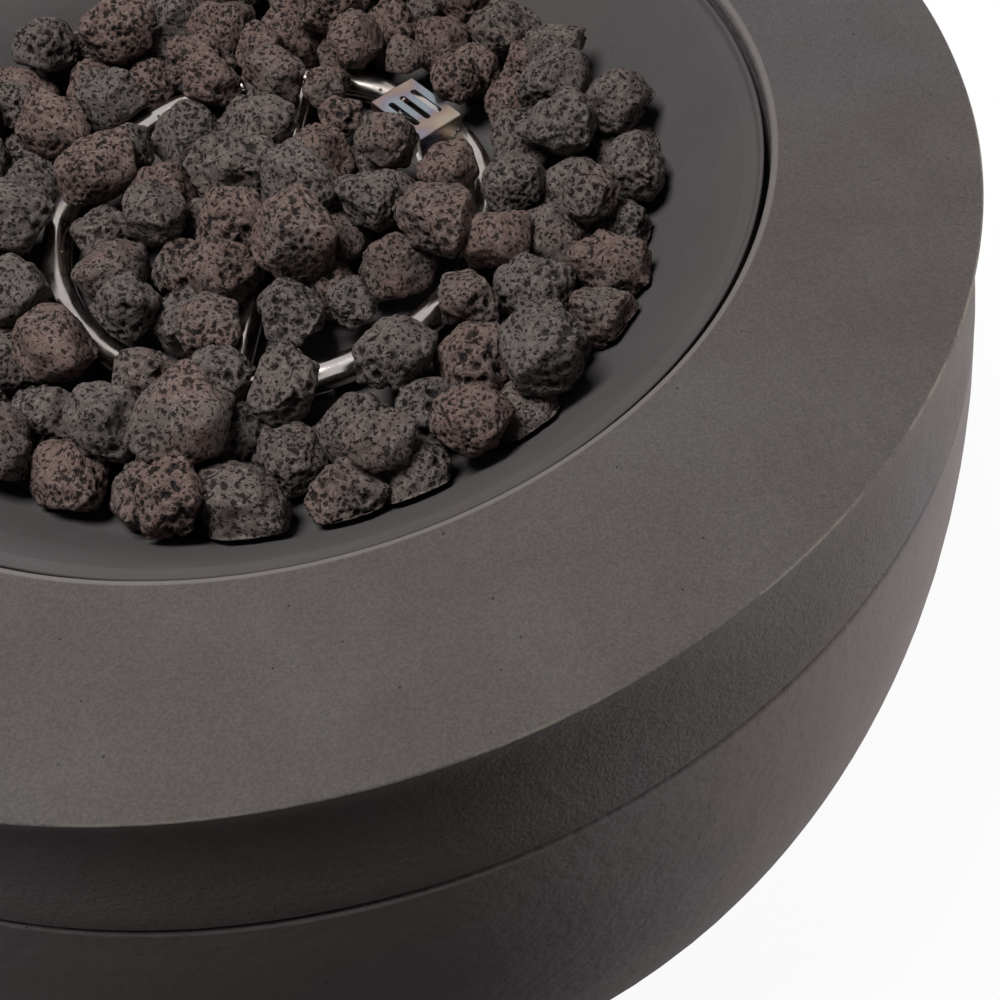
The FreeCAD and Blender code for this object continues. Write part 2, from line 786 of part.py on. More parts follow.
def route_path(points):
    """Wire through points; each arc takes up to 0.45 of its shorter run."""
    edges = []
    start = points[0]
    radii = []
    for before, corner, after in zip(points, points[1:], points[2:]):
        a = before - corner
        b = after - corner
        shorter = min(a.Length, b.Length)
        turn = math.pi - a.getAngle(b)
        radius = 0.45 * shorter / math.tan(turn / 2)
        first, middle, last = corner_round(before, corner, after, radius)
        edges.append(Part.LineSegment(start, first).toShape())
        edges.append(Part.Arc(first, middle, last).toShape())
        start = last
        radii.append(radius)
    edges.append(Part.LineSegment(start, points[-1]).toShape())
    return Part.Wire(edges), radii


def tube(points, diameter, name, bore=0.0):
    path, radii = route_path(points)
    direction = (points[1] - points[0]).normalize()
    sweep = []
    for d in (diameter, bore):
        if d > 0:
            circle = Part.Wire(Part.makeCircle(d / 2, points[0], direction))
            sweep.append(tidy(path.makePipeShell([circle], True, False)))
    solid = sweep[0].cut(sweep[1]) if len(sweep) > 1 else sweep[0]
    section = math.pi * (diameter ** 2 - bore ** 2) / 4
    print(name, "arc radii", [round(r, 1) for r in radii],
          "volume over section times length", round(solid.Volume / (section * path.Length), 4))
    return tidy(solid)


def gas_pipe():
    elbow, centre = gas_elbow()
    x0 = valve_x - valve_a / 2 - fitting_l + 2
    y0 = niche_back_y - valve_l + 12
    end = centre + out * (elbow_a / 2 + 2)
    points = [
        Vector(x0, y0, niche_z), Vector(x0 - 52, y0, niche_z),
        Vector(x0 - 54, y0 - 62, niche_z - 8), Vector(x0 - 26, y0 - 116, (niche_z + end.z) / 2),
        Vector(-16, end.y + 62, end.z + 6), Vector(0, end.y + 28, end.z), end,
    ]
    return tube(points, pipe_d, "gas_pipe", pipe_bore)


def probe_foot(sign):
    return pilot_point(-probe_in, sign * probe_spread / 2, dish_under_z - 8)


def sensor_lead():
    start = Vector(valve_x, niche_back_y - valve_l - 4, niche_z)
    end = probe_foot(1)
    low = end.z - 34
    points = [
        start, start - out * 34, Vector(valve_x + 26, start.y - 84, niche_z + 4),
        Vector(end.x - 34, end.y + 44, low + 4), Vector(end.x, end.y, low), end,
    ]
    return tube(points, lead_d, "sensor_lead")


def spark_wire():
    start = Vector(igniter_x, niche_back_y - igniter_l, niche_z)
    end = probe_foot(-1)
    low = end.z - 38
    points = [
        start, start - out * 36, Vector(igniter_x + 34, start.y - 82, niche_z + 4),
        Vector(end.x + 14, end.y + 52, low + 2), Vector(end.x, end.y, low), end,
    ]
    return tube(points, wire_d, "spark_wire")


# Control panel

def panel_screw_places():
    return [(sx * panel_screw_dx / 2, niche_z + sz * panel_screw_dz / 2)
            for sx in (-1, 1) for sz in (-1, 1)]


def control_panel():
    y = niche_back_y
    plate = upright_plate(0, niche_z, panel_w, panel_h, panel_round, y, y + panel_t)
    holes = [
        cylinder(valve_neck_d / 2 + face_gap, Vector(valve_x, y - 1, niche_z), out, 5),
        cylinder(igniter_neck_d / 2 + face_gap, Vector(igniter_x, y - 1, niche_z), out, 5),
    ]
    holes += [cylinder(screw_m4 / 2 + screw_fit, Vector(x, y - 1, z), out, 5)
              for x, z in panel_screw_places()]
    holes += [cylinder(screw_m4 / 2 + screw_fit, Vector(x, y - 1, niche_z), out, 5)
              for x in valve_screw_columns()]
    return less(plate, holes)


def panel_screws():
    return group([screw(screw_m4, 12.0, Vector(x, niche_back_y + panel_t, z), out)
                  for x, z in panel_screw_places()])


def valve_screw_columns():
    return [valve_x - valve_screw_dx / 2, valve_x + valve_screw_dx / 2]


def valve_screws():
    return group([screw(screw_m4, 7.0, Vector(x, niche_back_y + panel_t, niche_z), out)
                  for x in valve_screw_columns()])


def valve_body():
    y = niche_back_y
    centre = Vector(valve_x, y - valve_l / 2, niche_z)
    block = box(centre, valve_a, valve_l, valve_a)
    neck = cylinder(valve_neck_d / 2, Vector(valve_x, y, niche_z), out, valve_neck_l)
    outlet_y = y - valve_l + 12
    outlet = cylinder(fitting_d / 2, Vector(valve_x - valve_a / 2, outlet_y, niche_z),
                      Vector(-1, 0, 0), fitting_l)
    cutters = [
        cylinder(chamber_d / 2, Vector(valve_x, y - valve_l, niche_z), out, valve_l - valve_front_t),
        cylinder(stem_d / 2 + running_gap, Vector(valve_x, y - valve_front_t - 1, niche_z), out, 20),
        cylinder(pipe_d / 2, Vector(valve_x - valve_a / 2 - 2, outlet_y, niche_z),
                 Vector(-1, 0, 0), fitting_l),
        cylinder(pipe_bore / 2, Vector(valve_x, outlet_y, niche_z), Vector(-1, 0, 0), 40),
        cylinder(inlet_bore / 2, Vector(valve_x, outlet_y + 6, niche_z), up * -1, 40),
        cylinder(fitting_d / 2, Vector(valve_x, outlet_y + 6, niche_z - valve_a / 2), up, 5),
    ]
    cutters += [screw_hole(screw_m4, Vector(x, y, niche_z), out, 5.0) for x in valve_screw_columns()]
    return less(joined([block, neck, outlet]), cutters)


def gas_inlet():
    """Male flare fitting on the underside of the valve, for the hose."""
    y = niche_back_y - valve_l + 18
    z = niche_z - valve_a / 2
    plug = cylinder(fitting_d / 2, Vector(valve_x, y, z), up, 5)
    collar = hexagon(19.0, Vector(valve_x, y, z - 7), up, 7)
    thread = cylinder(inlet_d / 2, Vector(valve_x, y, z - 7 - inlet_l), up, inlet_l)
    bore = cylinder(inlet_bore / 2, Vector(valve_x, y, z - 7 - inlet_l), up, inlet_l + 20)
    return less(joined([plug, collar, thread]), [bore])


def valve_cap():
    """Rear cap with the safety magnet that the flame sensor feeds."""
    y = niche_back_y - valve_l
    magnet = cylinder(chamber_d / 2 - 1.0, Vector(valve_x, y - 1, niche_z), out, 12)
    plug = cylinder(chamber_d / 2, Vector(valve_x, y, niche_z), out, 5)
    head = hexagon(26.0, Vector(valve_x, y - 4, niche_z), out, 4)
    return joined([head, plug, magnet])


def d_shaft(radius, flat, start, length):
    """Round bar along +Y with one flat, facing +X."""
    bar = cylinder(radius, start, out, length)
    keep = Part.makeBox(radius + flat + 1, length + 2, 2 * radius + 2,
                        start + Vector(-radius - 1, -1, -radius - 1))
    return tidy(bar.common(keep))


def valve_core():
    """Turning plug: a gas way across it and a D-shaped socket for the stem."""
    y1 = niche_back_y - valve_front_t - 0.2
    start = Vector(valve_x, y1 - core_l, niche_z)
    plug = cylinder(chamber_d / 2 - running_gap, start, out, core_l)
    socket_l = core_l - 4
    socket = d_shaft(stem_d / 2 + running_gap, stem_flat + running_gap,
                     Vector(valve_x, y1 - socket_l, niche_z), socket_l + 1)
    way = cylinder(2.0, start + Vector(-chamber_d, 1.9, 0), Vector(1, 0, 0), 2 * chamber_d)
    return less(plug, [socket, cylinder(1.2, start + Vector(6, -1, 0), out, 4), way])


def knob_back_y():
    return niche_back_y + panel_t + knob_stand


def valve_stem():
    y1 = niche_back_y - valve_front_t - 0.2
    foot = y1 - (core_l - 4) + knob_push + 1.0
    tip = knob_back_y() + knob_l - 5
    return d_shaft(stem_d / 2, stem_flat, Vector(valve_x, foot, niche_z), tip - foot)


def control_knob():
    y = knob_back_y()
    body = cylinder(knob_d / 2, Vector(valve_x, y, niche_z), out, knob_l)
    body = body.makeFillet(2.0, [e for e in body.Edges if abs(e.CenterOfMass.y - y - knob_l) < 0.1])
    grip = box(Vector(valve_x, y + knob_l + 1.2, niche_z + knob_d * 0.27), 3.0, 3.6, knob_d * 0.3)
    socket = d_shaft(stem_d / 2, stem_flat, Vector(valve_x, y, niche_z), knob_l - 5)
    cavity = cylinder(knob_cavity_d / 2, Vector(valve_x, y, niche_z), out, knob_cavity_l)
    flutes = []
    for i in range(flute_count):
        a = 2 * math.pi * i / flute_count
        reach = knob_d / 2 + flute_r * 0.5
        place = Vector(valve_x + reach * math.sin(a), y + 5, niche_z + reach * math.cos(a))
        flutes.append(cylinder(flute_r, place, out, knob_l))
    return less(joined([less(body, flutes), grip]), [socket, cavity])


def coil(centre, radius, wire, pitch, turns):
    """Helical spring along +Y, standing on centre, in short flat facets."""
    rings = []
    for i in range(turns * coil_steps + 1):
        a = 2 * math.pi * i / coil_steps
        side = Vector(math.cos(a), 0, -math.sin(a))
        along = Vector(-radius * math.sin(a), pitch / (2 * math.pi), -radius * math.cos(a)).normalize()
        across = along.cross(side)
        place = centre + side * radius + out * (pitch * i / coil_steps)
        ring_points = []
        for k in range(coil_sides):
            b = 2 * math.pi * k / coil_sides
            ring_points.append(place + (side * math.cos(b) + across * math.sin(b)) * (wire / 2))
        rings.append(ring_points)
    loops = [rings[0], rings[-1]]
    for first, second in zip(rings, rings[1:]):
        for k in range(coil_sides):
            j = (k + 1) % coil_sides
            loops.append([first[k], first[j], second[j]])
            loops.append([first[k], second[j], second[k]])
    sides = [Part.Face(Part.makePolygon(points + points[:1])) for points in loops]
    return tidy(Part.makeSolid(Part.makeShell(sides)))


def knob_spring():
    room = knob_stand + knob_cavity_l - 2 * face_gap
    pitch = (room - knob_wire_d) / knob_spring_turns
    base = Vector(valve_x, niche_back_y + panel_t + face_gap + knob_wire_d / 2, niche_z)
    radius = (valve_neck_d + knob_wire_d) / 2 + 0.7
    return coil(base, radius, knob_wire_d, pitch, knob_spring_turns)


def igniter_case():
    y = niche_back_y
    body = cylinder(igniter_d / 2, Vector(igniter_x, y - igniter_l, niche_z), out, igniter_l)
    neck = cylinder(igniter_neck_d / 2, Vector(igniter_x, y, niche_z), out, igniter_neck_l)
    hollow = cylinder(igniter_bore_d / 2, Vector(igniter_x, y - igniter_l + igniter_floor, niche_z),
                      out, igniter_l + igniter_neck_l)
    return less(joined([body, neck]), [hollow])


def igniter_nut():
    y = niche_back_y + panel_t
    return ring(igniter_nut_d / 2, igniter_neck_d / 2, Vector(igniter_x, y, niche_z), out, 4.0)


def button_back_y():
    return niche_back_y + igniter_neck_l - button_skirt - button_travel


def igniter_button():
    radius = igniter_bore_d / 2 - running_gap
    y = button_back_y()
    length = niche_back_y + igniter_neck_l + button_proud - y
    cap = cylinder(radius, Vector(igniter_x, y, niche_z), out, length)
    cap = cap.makeFillet(1.5, [e for e in cap.Edges if abs(e.CenterOfMass.y - y - length) < 0.1])
    hollow = cylinder(radius - button_wall, Vector(igniter_x, y, niche_z), out, length - button_face_t)
    return less(cap, [hollow])


def igniter_battery():
    y = niche_back_y - igniter_l + igniter_floor
    cell = cylinder(battery_d / 2, Vector(igniter_x, y, niche_z), out, battery_l - 1)
    pip = cylinder(battery_d / 5, Vector(igniter_x, y + battery_l - 1, niche_z), out, 1)
    return joined([cell, pip])


def igniter_spring():
    """Between the battery and the inside of the button's face."""
    y0 = niche_back_y - igniter_l + igniter_floor + battery_l + face_gap
    y1 = niche_back_y + igniter_neck_l + button_proud - button_face_t - face_gap
    pitch = (y1 - y0 - igniter_wire_d) / igniter_spring_turns
    base = Vector(igniter_x, y0 + igniter_wire_d / 2, niche_z)
    return coil(base, battery_d / 2 - igniter_wire_d, igniter_wire_d, pitch, igniter_spring_turns)


# Heat shield over the valve

def shield_screw_heights():
    return [niche_z + niche_h / 2 + niche_wall / 2 - 2]


def shield_screw_columns():
    return [-shield_w / 3, shield_w / 3]


def shield_top_z():
    return dish_under_z - shield_drop


def heat_shield():
    y1 = niche_back_y - niche_wall
    z1 = shield_top_z()
    sheet = Part.makeBox(shield_w, shield_l, sheet_t, Vector(-shield_w / 2, y1 - shield_l, z1 - sheet_t))
    screw_z = shield_screw_heights()[0]
    flange_foot = min(z1 - sheet_t, screw_z - shield_flange / 2)
    flange_top = max(z1, screw_z + shield_flange / 2)
    flange = Part.makeBox(shield_w, sheet_t, flange_top - flange_foot,
                          Vector(-shield_w / 2, y1 - sheet_t, flange_foot))
    holes = [cylinder(screw_m4 / 2 + screw_fit, Vector(x, y1 - 5, z), out, 6)
             for z in shield_screw_heights() for x in shield_screw_columns()]
    return less(joined([sheet, flange]), holes)


def shield_screws():
    y = niche_back_y - niche_wall - sheet_t
    return group([screw(screw_m4, 10.0, Vector(x, y, z), out * -1)
                  for z in shield_screw_heights() for x in shield_screw_columns()])


# Base plate and feet

def base_plate():
    plate = cylinder(plate_r, rz(0, foot_h - plate_t), up, plate_t)
    slot = upright_slot(vent_w, vent_l, 0, foot_h + 1)
    slot.rotate(Vector(0, 0, 0), up, 90)
    slot.translate(Vector(vent_r, 0, 0))
    holes = around(slot, vent_count)
    holes += around(cylinder(screw_m5 / 2 + screw_fit, rz(plate_screw_r, 0), up, foot_h + 1),
                    plate_screw_count, 30)
    return less(plate, holes)


def base_plate_screws():
    piece = screw(screw_m5, plate_t + 14, rz(plate_screw_r, foot_h - plate_t), up * -1)
    return group(around(piece, plate_screw_count, 30))


def rubber_foot(i):
    pad = cylinder(foot_d / 2, rz(foot_r, 0), up, foot_h)
    pad = pad.makeFillet(1.5, [e for e in pad.Edges if e.CenterOfMass.z < 0.1 and e.Length > foot_d])
    well = cylinder(screw_m5 * 1.2, rz(foot_r, 0), up, foot_h - 4)
    hole = cylinder(screw_m5 / 2 + screw_fit, rz(foot_r, 0), up, foot_h)
    return spun(less(pad, [well, hole]), 45 + 360.0 * i / foot_count)


def foot_screws():
    piece = screw(screw_m5, 4 + 14, rz(foot_r, foot_h - 4), up * -1)
    return group(around(piece, foot_count, 45))


# Lava rock: balls dropped one by one onto the dish. Each rock then fills its
# ball and grows into the free space, up to flat faces shared with its neighbours

def rest_height(x, y, size, placed):
    """Centre of a ball dropped at x, y; None where it would land on the hood."""
    radius = math.hypot(x, y)
    reach = size + rock_gap
    z = dish_top_z(radius, reach)
    a = math.radians(pilot_angle)
    u = x * math.cos(a) + y * math.sin(a) - pilot_r
    v = -x * math.sin(a) + y * math.cos(a)
    if math.hypot(max(abs(u) - hood_w / 2, 0), max(abs(v) - pilot_plate_l / 2, 0)) < reach:
        return None
    bar = math.radians(bar_angle)
    props = [
        (abs(radius - ring_r), tube_r, ring_z),
        (abs(x * math.sin(bar) - y * math.cos(bar)) if radius < ring_r else reach + bar_d, bar_d / 2, ring_z),
        (max(radius - hub_d / 2, 0), 0.0, ring_z + bar_d / 2 + 1),
    ]
    props += [(math.hypot(x - px, y - py), ps, pz) for px, py, pz, ps in placed]
    for away, prop_r, prop_z in props:
        span = reach + prop_r
        if away < span:
            z = max(z, prop_z + math.sqrt(span ** 2 - away ** 2))
    return z


def drop_rocks():
    chance = random.Random(rock_seed)
    placed = []
    for i in range(rock_count):
        size = chance.uniform(rock_r_min, rock_r_max)
        best = None
        for k in range(rock_tries):
            radius = math.sqrt(chance.uniform(0, 1)) * (pile_r - size)
            a = chance.uniform(0, 2 * math.pi)
            x = radius * math.cos(a)
            y = radius * math.sin(a)
            z = rest_height(x, y, size, placed)
            if z is None:
                continue
            spare = min([math.dist((x, y, z), p[:3]) - size - p[3] for p in placed] + [rock_r_max])
            over_tube = ring_cover_cost if abs(radius - ring_r) < size else 0.0
            score = z + over_tube + spare * rock_huddle
            if best is None or score < best[0]:
                best = (score, x, y, z)
        placed.append(best[1:] + (size,))
    return placed


def icosahedron():
    """Corner directions and the triangles between them."""
    g = (1 + math.sqrt(5)) / 2
    corners = []
    for a, b in itertools.product((-1, 1), (-g, g)):
        corners += [Vector(a, b, 0), Vector(0, a, b), Vector(b, 0, a)]
    faces = [t for t in itertools.combinations(range(12), 3)
             if all(abs((corners[p] - corners[q]).Length - 2.0) < 1e-6
                    for p, q in itertools.combinations(t, 2))]
    return [c.normalize() for c in corners], faces


def plane_at(foot, normal):
    """Flat limit: a rock stays on the side that normal points to."""
    return (normal, foot.dot(normal) + rock_gap / 2)


def rock_planes(place, placed):
    """Flat limits around one rock: its neighbours, the floor and the burner."""
    x, y, z, size = place
    centre = Vector(x, y, z)
    planes = [plane_at(Vector(0, 0, dish_floor_z), up)]
    for other in placed:
        gap = Vector(x - other[0], y - other[1], z - other[2])
        if other is not place and gap.Length < (size + other[3]) * rock_growth:
            middle = gap.Length * 0.5 + (other[3] - size) * 0.5
            normal = gap.normalize()
            planes.append(plane_at(Vector(*other[:3]) + normal * middle, normal))
    radius = math.hypot(x, y)
    level = polar(1, math.degrees(math.atan2(y, x)))
    tube_centre = level * ring_r + rz(0, ring_z)
    normal = (centre - tube_centre).normalize()
    hug = (size * rock_growth) ** 2 / (2 * (ring_r - tube_r)) if radius < ring_r else 0.0
    planes.append(plane_at(tube_centre + normal * (tube_r + hug * abs(normal.dot(level))), normal))
    bar = polar(1, bar_angle)
    foot = bar * max(-ring_r, min(ring_r, centre.dot(bar))) + rz(0, ring_z)
    normal = (centre - foot).normalize()
    planes.append(plane_at(foot + normal * (bar_d / 2), normal))
    hub_top = rz(0, ring_z + bar_d / 2 + 1)
    if z > hub_top.z:
        planes.append(plane_at(hub_top, up))
    else:
        planes.append(plane_at(level * (hub_d / 2), level))
    spin = FreeCAD.Rotation(up, pilot_angle)
    local = spin.inverted().multVec(centre) - Vector(pilot_r, 0, 0)
    nearest = Vector(max(-hood_w / 2, min(hood_w / 2, local.x)),
                     max(-pilot_plate_l / 2, min(pilot_plate_l / 2, local.y)),
                     min(local.z, dish_floor_z + hood_top))
    normal = (local - nearest).normalize()
    planes.append(plane_at(spin.multVec(nearest + Vector(pilot_r, 0, 0)), spin.multVec(normal)))
    return planes


def corner_reach(centre, direction, planes, size, reach):
    """How far one corner may go, up to reach, before it meets a flat limit or the dish."""
    for normal, level in planes:
        closing = -direction.dot(normal)
        if closing > 1e-6:
            reach = min(reach, (centre.dot(normal) - level) / closing)
    while reach > 0.5 * size:
        tip = centre + direction * reach
        if tip.z > dish_top_z(math.hypot(tip.x, tip.y), rock_gap):
            break
        reach *= 0.97
    return reach


def rock(place, placed, chance, corners, faces):
    x, y, z, size = place
    centre = Vector(x, y, z)
    planes = rock_planes(place, placed)
    turn = FreeCAD.Rotation(chance.uniform(0, 360), chance.uniform(0, 360), chance.uniform(0, 360))
    length_way = polar(1, chance.uniform(0, 180), chance.uniform(-0.5, 0.5)).normalize()
    points = []
    for c in corners:
        direction = turn.multVec(c)
        stretch = rock_girth + (rock_growth - rock_girth) * abs(direction.dot(length_way))
        reach = corner_reach(centre, direction, planes, size, size * stretch)
        points.append(centre + direction * reach * chance.uniform(1 - rock_rough, 1))
    sides = [Part.Face(Part.makePolygon([points[a], points[b], points[c], points[a]]))
             for a, b, c in faces]
    return tidy(Part.makeSolid(Part.makeShell(sides)))


def rock_nodes():
    placed = drop_rocks()
    chance = random.Random(rock_seed + 1)
    corners, faces = icosahedron()
    names = ("right", "back", "left", "front")
    nodes = {}
    for place in placed:
        piece = rock(place, placed, chance, corners, faces)
        radius = math.hypot(place[0], place[1])
        if radius < ring_r:
            name = "lava_rocks_inside_ring"
        else:
            quarter_turn = int(((math.degrees(math.atan2(place[1], place[0])) + 45) % 360) // 90)
            name = "lava_rocks_" + names[quarter_turn]
        nodes.setdefault(name, []).append(piece)
    top = max(corner.Z for pieces in nodes.values() for piece in pieces for corner in piece.Vertexes)
    print("rocks", len(placed), "highest", round(top, 1), "below the top face", round(table_h - top, 1))
    return {name: group(pieces) for name, pieces in nodes.items()}


def build():
    nodes = {
        "tabletop": tabletop(),
        "bowl_shell": bowl_shell(),
        "fire_dish": fire_dish(),
        "joint_straps": joint_straps(),
        "joint_strap_screws": joint_strap_screws(),
        "burner_ring": burner_ring(),
        "burner_feet": burner_feet(),
        "burner_washer": burner_washer(),
        "burner_nut": burner_nut(),
        "air_mixer": air_mixer(),
        "gas_jet": gas_jet(),
        "gas_elbow": gas_elbow()[0],
        "gas_pipe": gas_pipe(),
        "pilot_plate": pilot_plate(),
        "igniter_hood": igniter_hood(),
        "pilot_screws": pilot_screws(),
        "spark_insulator": spark_insulator(),
        "spark_rod": spark_rod(),
        "flame_sensor": flame_sensor(),
        "sensor_lead": sensor_lead(),
        "spark_wire": spark_wire(),
        "control_panel": control_panel(),
        "panel_screws": panel_screws(),
        "valve_body": valve_body(),
        "valve_screws": valve_screws(),
        "valve_core": valve_core(),
        "valve_cap": valve_cap(),
        "valve_stem": valve_stem(),
        "gas_inlet": gas_inlet(),
        "control_knob": control_knob(),
        "knob_spring": knob_spring(),
        "igniter_case": igniter_case(),
        "igniter_nut": igniter_nut(),
        "igniter_button": igniter_button(),
        "igniter_battery": igniter_battery(),
        "igniter_spring": igniter_spring(),
        "heat_shield": heat_shield(),
        "shield_screws": shield_screws(),
        "hose_grommet": hose_grommet(),
        "base_plate": base_plate(),
        "base_plate_screws": base_plate_screws(),
        "foot_screws": foot_screws(),
    }
    for i in range(foot_count):
        nodes["rubber_foot_" + str(i + 1)] = rubber_foot(i)
    nodes.update(rock_nodes())
    return nodes


os.makedirs("parts", exist_ok=True)
for name, shape in build().items():
    print(name, "solids", len(shape.Solids), "volume", round(shape.Volume, 1), "valid", shape.isValid())
    shape.exportStep("parts/" + name + ".step")
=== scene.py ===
# %% [markdown]
# A round fire pit table in cast stone, lit as in a plain studio. The solids come
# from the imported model, in metres, with the floor at Z = 0 and the controls at +Y.
# Each part below either keeps its solid and gets a finish, or is modelled again
# with more shape than a solid needs. Everything stays where the solids are.

# %% Load the fixed frame
import json
import math
import random
import bmesh
import bpy
from mathutils import Matrix, Vector, noise


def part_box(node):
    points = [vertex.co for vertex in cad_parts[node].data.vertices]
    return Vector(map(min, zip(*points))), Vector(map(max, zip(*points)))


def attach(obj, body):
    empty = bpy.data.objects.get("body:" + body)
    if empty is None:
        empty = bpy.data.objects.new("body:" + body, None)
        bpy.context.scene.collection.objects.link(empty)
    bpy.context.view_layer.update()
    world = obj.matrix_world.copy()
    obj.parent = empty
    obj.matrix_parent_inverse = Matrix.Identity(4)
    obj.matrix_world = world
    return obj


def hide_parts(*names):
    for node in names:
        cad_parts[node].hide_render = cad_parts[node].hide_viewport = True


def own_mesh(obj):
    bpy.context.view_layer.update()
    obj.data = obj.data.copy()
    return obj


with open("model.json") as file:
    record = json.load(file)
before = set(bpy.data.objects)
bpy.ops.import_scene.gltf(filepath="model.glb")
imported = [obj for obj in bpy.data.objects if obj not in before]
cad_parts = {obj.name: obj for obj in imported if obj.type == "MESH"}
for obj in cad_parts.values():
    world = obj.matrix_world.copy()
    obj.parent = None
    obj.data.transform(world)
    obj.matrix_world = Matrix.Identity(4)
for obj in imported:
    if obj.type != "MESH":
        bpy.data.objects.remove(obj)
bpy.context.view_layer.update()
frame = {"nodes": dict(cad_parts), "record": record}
nodes = frame["nodes"]
slot_of = {p["node"]: p["material_slot"] for p in frame["record"]["subparts"]}
print("nodes", len(nodes), "slots", len(set(slot_of.values())))

# %% [markdown]
# Three sizes are needed early, because the finish of the top looks for its two
# edges. The top face is 710 mm across and 480 mm above the floor, and the fire
# opening is 512 mm across. All sizes are in metres.

# %% Sizes of the top
table_r = 0.355
table_h = 0.480
opening_r = 0.256

# %% [markdown]
# The camera is a hand-held close-up: it looks down over the near rim, a little to
# the right, from about one table width away. It could be aimed with a constraint,
# but a hand-held view also leans a little. A camera looks along its own -Z, so its
# matrix is built from the view direction and a small roll.

# %% Camera
camera_place = Vector((0.0, -0.5999, 0.9786))
view_yaw = 0.2702
view_pitch = 0.8561
view_roll = -0.0565
sensor_w = 36
focal_share = 1.533
view_to = Vector((math.sin(view_yaw) * math.cos(view_pitch),
                  math.cos(view_yaw) * math.cos(view_pitch), -math.sin(view_pitch)))
level_right = view_to.cross(Vector((0, 0, 1))).normalized()
level_up = level_right.cross(view_to)
cam_right = level_right * math.cos(view_roll) + level_up * math.sin(view_roll)
cam_up = level_up * math.cos(view_roll) - level_right * math.sin(view_roll)
turn = Matrix((cam_right, cam_up, -view_to)).transposed().to_4x4()
camera = bpy.data.objects.new("camera", bpy.data.cameras.new("camera"))
bpy.context.collection.objects.link(camera)
camera.matrix_world = Matrix.Translation(camera_place) @ turn
camera.data.sensor_width = sensor_w
camera.data.lens = focal_share * sensor_w
camera.data.shift_x = -0.0862
camera.data.shift_y = -0.1638
camera.data.clip_start = 0.01
bpy.context.scene.camera = camera
print("lens", round(camera.data.lens, 1), "mm")

# %% [markdown]
# Materials are node trees. They could be wired by hand in the shader editor, but in
# a script each node takes several lines. These small helpers add a node, set its
# inputs and link it, so that each finish reads as a short list of layers.

# %% Helpers that start a material and add nodes
def new_material(name, roughness=0.5, metallic=0.0, gloss=0.5):
    material = bpy.data.materials.new(name)
    material.use_nodes = True
    shader = material.node_tree.nodes["Principled BSDF"]
    shader.inputs["Roughness"].default_value = roughness
    shader.inputs["Metallic"].default_value = metallic
    shader.inputs["Specular IOR Level"].default_value = gloss
    return material, material.node_tree, shader


def add(tree, kind, **values):
    node = tree.nodes.new(kind)
    for key, value in values.items():
        if hasattr(node, key):
            setattr(node, key, value)
        else:
            socket = node.inputs[key.replace("_", " ")]
            if isinstance(value, bpy.types.NodeSocket):
                tree.links.new(value, socket)
            else:
                socket.default_value = value
    return node


print("node helpers ready")

# %% [markdown]
# A pattern needs three things: a place to read it at, a noise, and a curve that
# turns the noise into clear patches. Every piece here has its place in its mesh, so
# object coordinates give one even grain over the whole table.

# %% Helpers for patterns
def place_of(tree, scale=(1, 1, 1)):
    """Object coordinates, stretched where a grain is longer one way."""
    where = add(tree, "ShaderNodeTexCoord").outputs["Object"]
    return add(tree, "ShaderNodeMapping", Vector=where, Scale=scale).outputs["Vector"]


def noise_of(tree, where, scale, detail=4.0, rough=0.5):
    return add(tree, "ShaderNodeTexNoise", Vector=where, Scale=scale, Detail=detail,
               Roughness=rough).outputs["Fac"]


def steps(tree, value, low, high, out_low=0.0, out_high=1.0):
    return add(tree, "ShaderNodeMapRange", Value=value, From_Min=low, From_Max=high,
               To_Min=out_low, To_Max=out_high, interpolation_type="SMOOTHSTEP").outputs["Result"]


print("pattern helpers ready")

# %% [markdown]
# Layers are put on top of each other with arithmetic, colour mixes and bumps. Each
# helper takes either a number or another node's output. A bump also takes the one
# below it, so that coarse and fine relief add up.

# %% Helpers for layers
def maths(tree, how, a, b=0.0):
    node = tree.nodes.new("ShaderNodeMath")
    node.operation = how
    for socket, value in zip(node.inputs, (a, b)):
        if isinstance(value, bpy.types.NodeSocket):
            tree.links.new(value, socket)
        else:
            socket.default_value = value
    return node.outputs[0]


def blend(tree, factor, a, b, how="MIX"):
    node = tree.nodes.new("ShaderNodeMix")
    node.data_type = "RGBA"
    node.blend_type = how
    for socket, value in ((node.inputs[0], factor), (node.inputs[6], a), (node.inputs[7], b)):
        if isinstance(value, bpy.types.NodeSocket):
            tree.links.new(value, socket)
        elif socket.type == "VALUE":
            socket.default_value = value
        else:
            socket.default_value = tuple(value) + (1.0,)
    return node.outputs[2]


def bump(tree, shader, height, distance, strength=1.0, below=None):
    node = add(tree, "ShaderNodeBump", Height=height, Distance=distance, Strength=strength)
    if below is not None:
        tree.links.new(below, node.inputs["Normal"])
    tree.links.new(node.outputs["Normal"], shader.inputs["Normal"])
    return node.outputs["Normal"]


print("layer helpers ready")

# %% [markdown]
# Two things in cast stone follow no plain noise. Air bubbles leave small round
# pinholes, which Voronoi cells give when only a few of the cells are kept; their
# colour is darkened as painted shade inside the pits. Wear, with a painted highlight
# on the rounded arris, and blasting follow the edges, and on a round table an edge
# is simply a distance from the axis and a height, so no edge has to be painted.

# %% Pinholes and edges of cast stone
def radius_and_height(tree):
    where = add(tree, "ShaderNodeTexCoord").outputs["Object"]
    x, y, z = add(tree, "ShaderNodeSeparateXYZ", Vector=where).outputs
    flat = maths(tree, "SQRT", maths(tree, "ADD", maths(tree, "MULTIPLY", x, x),
                                     maths(tree, "MULTIPLY", y, y)))
    return flat, z


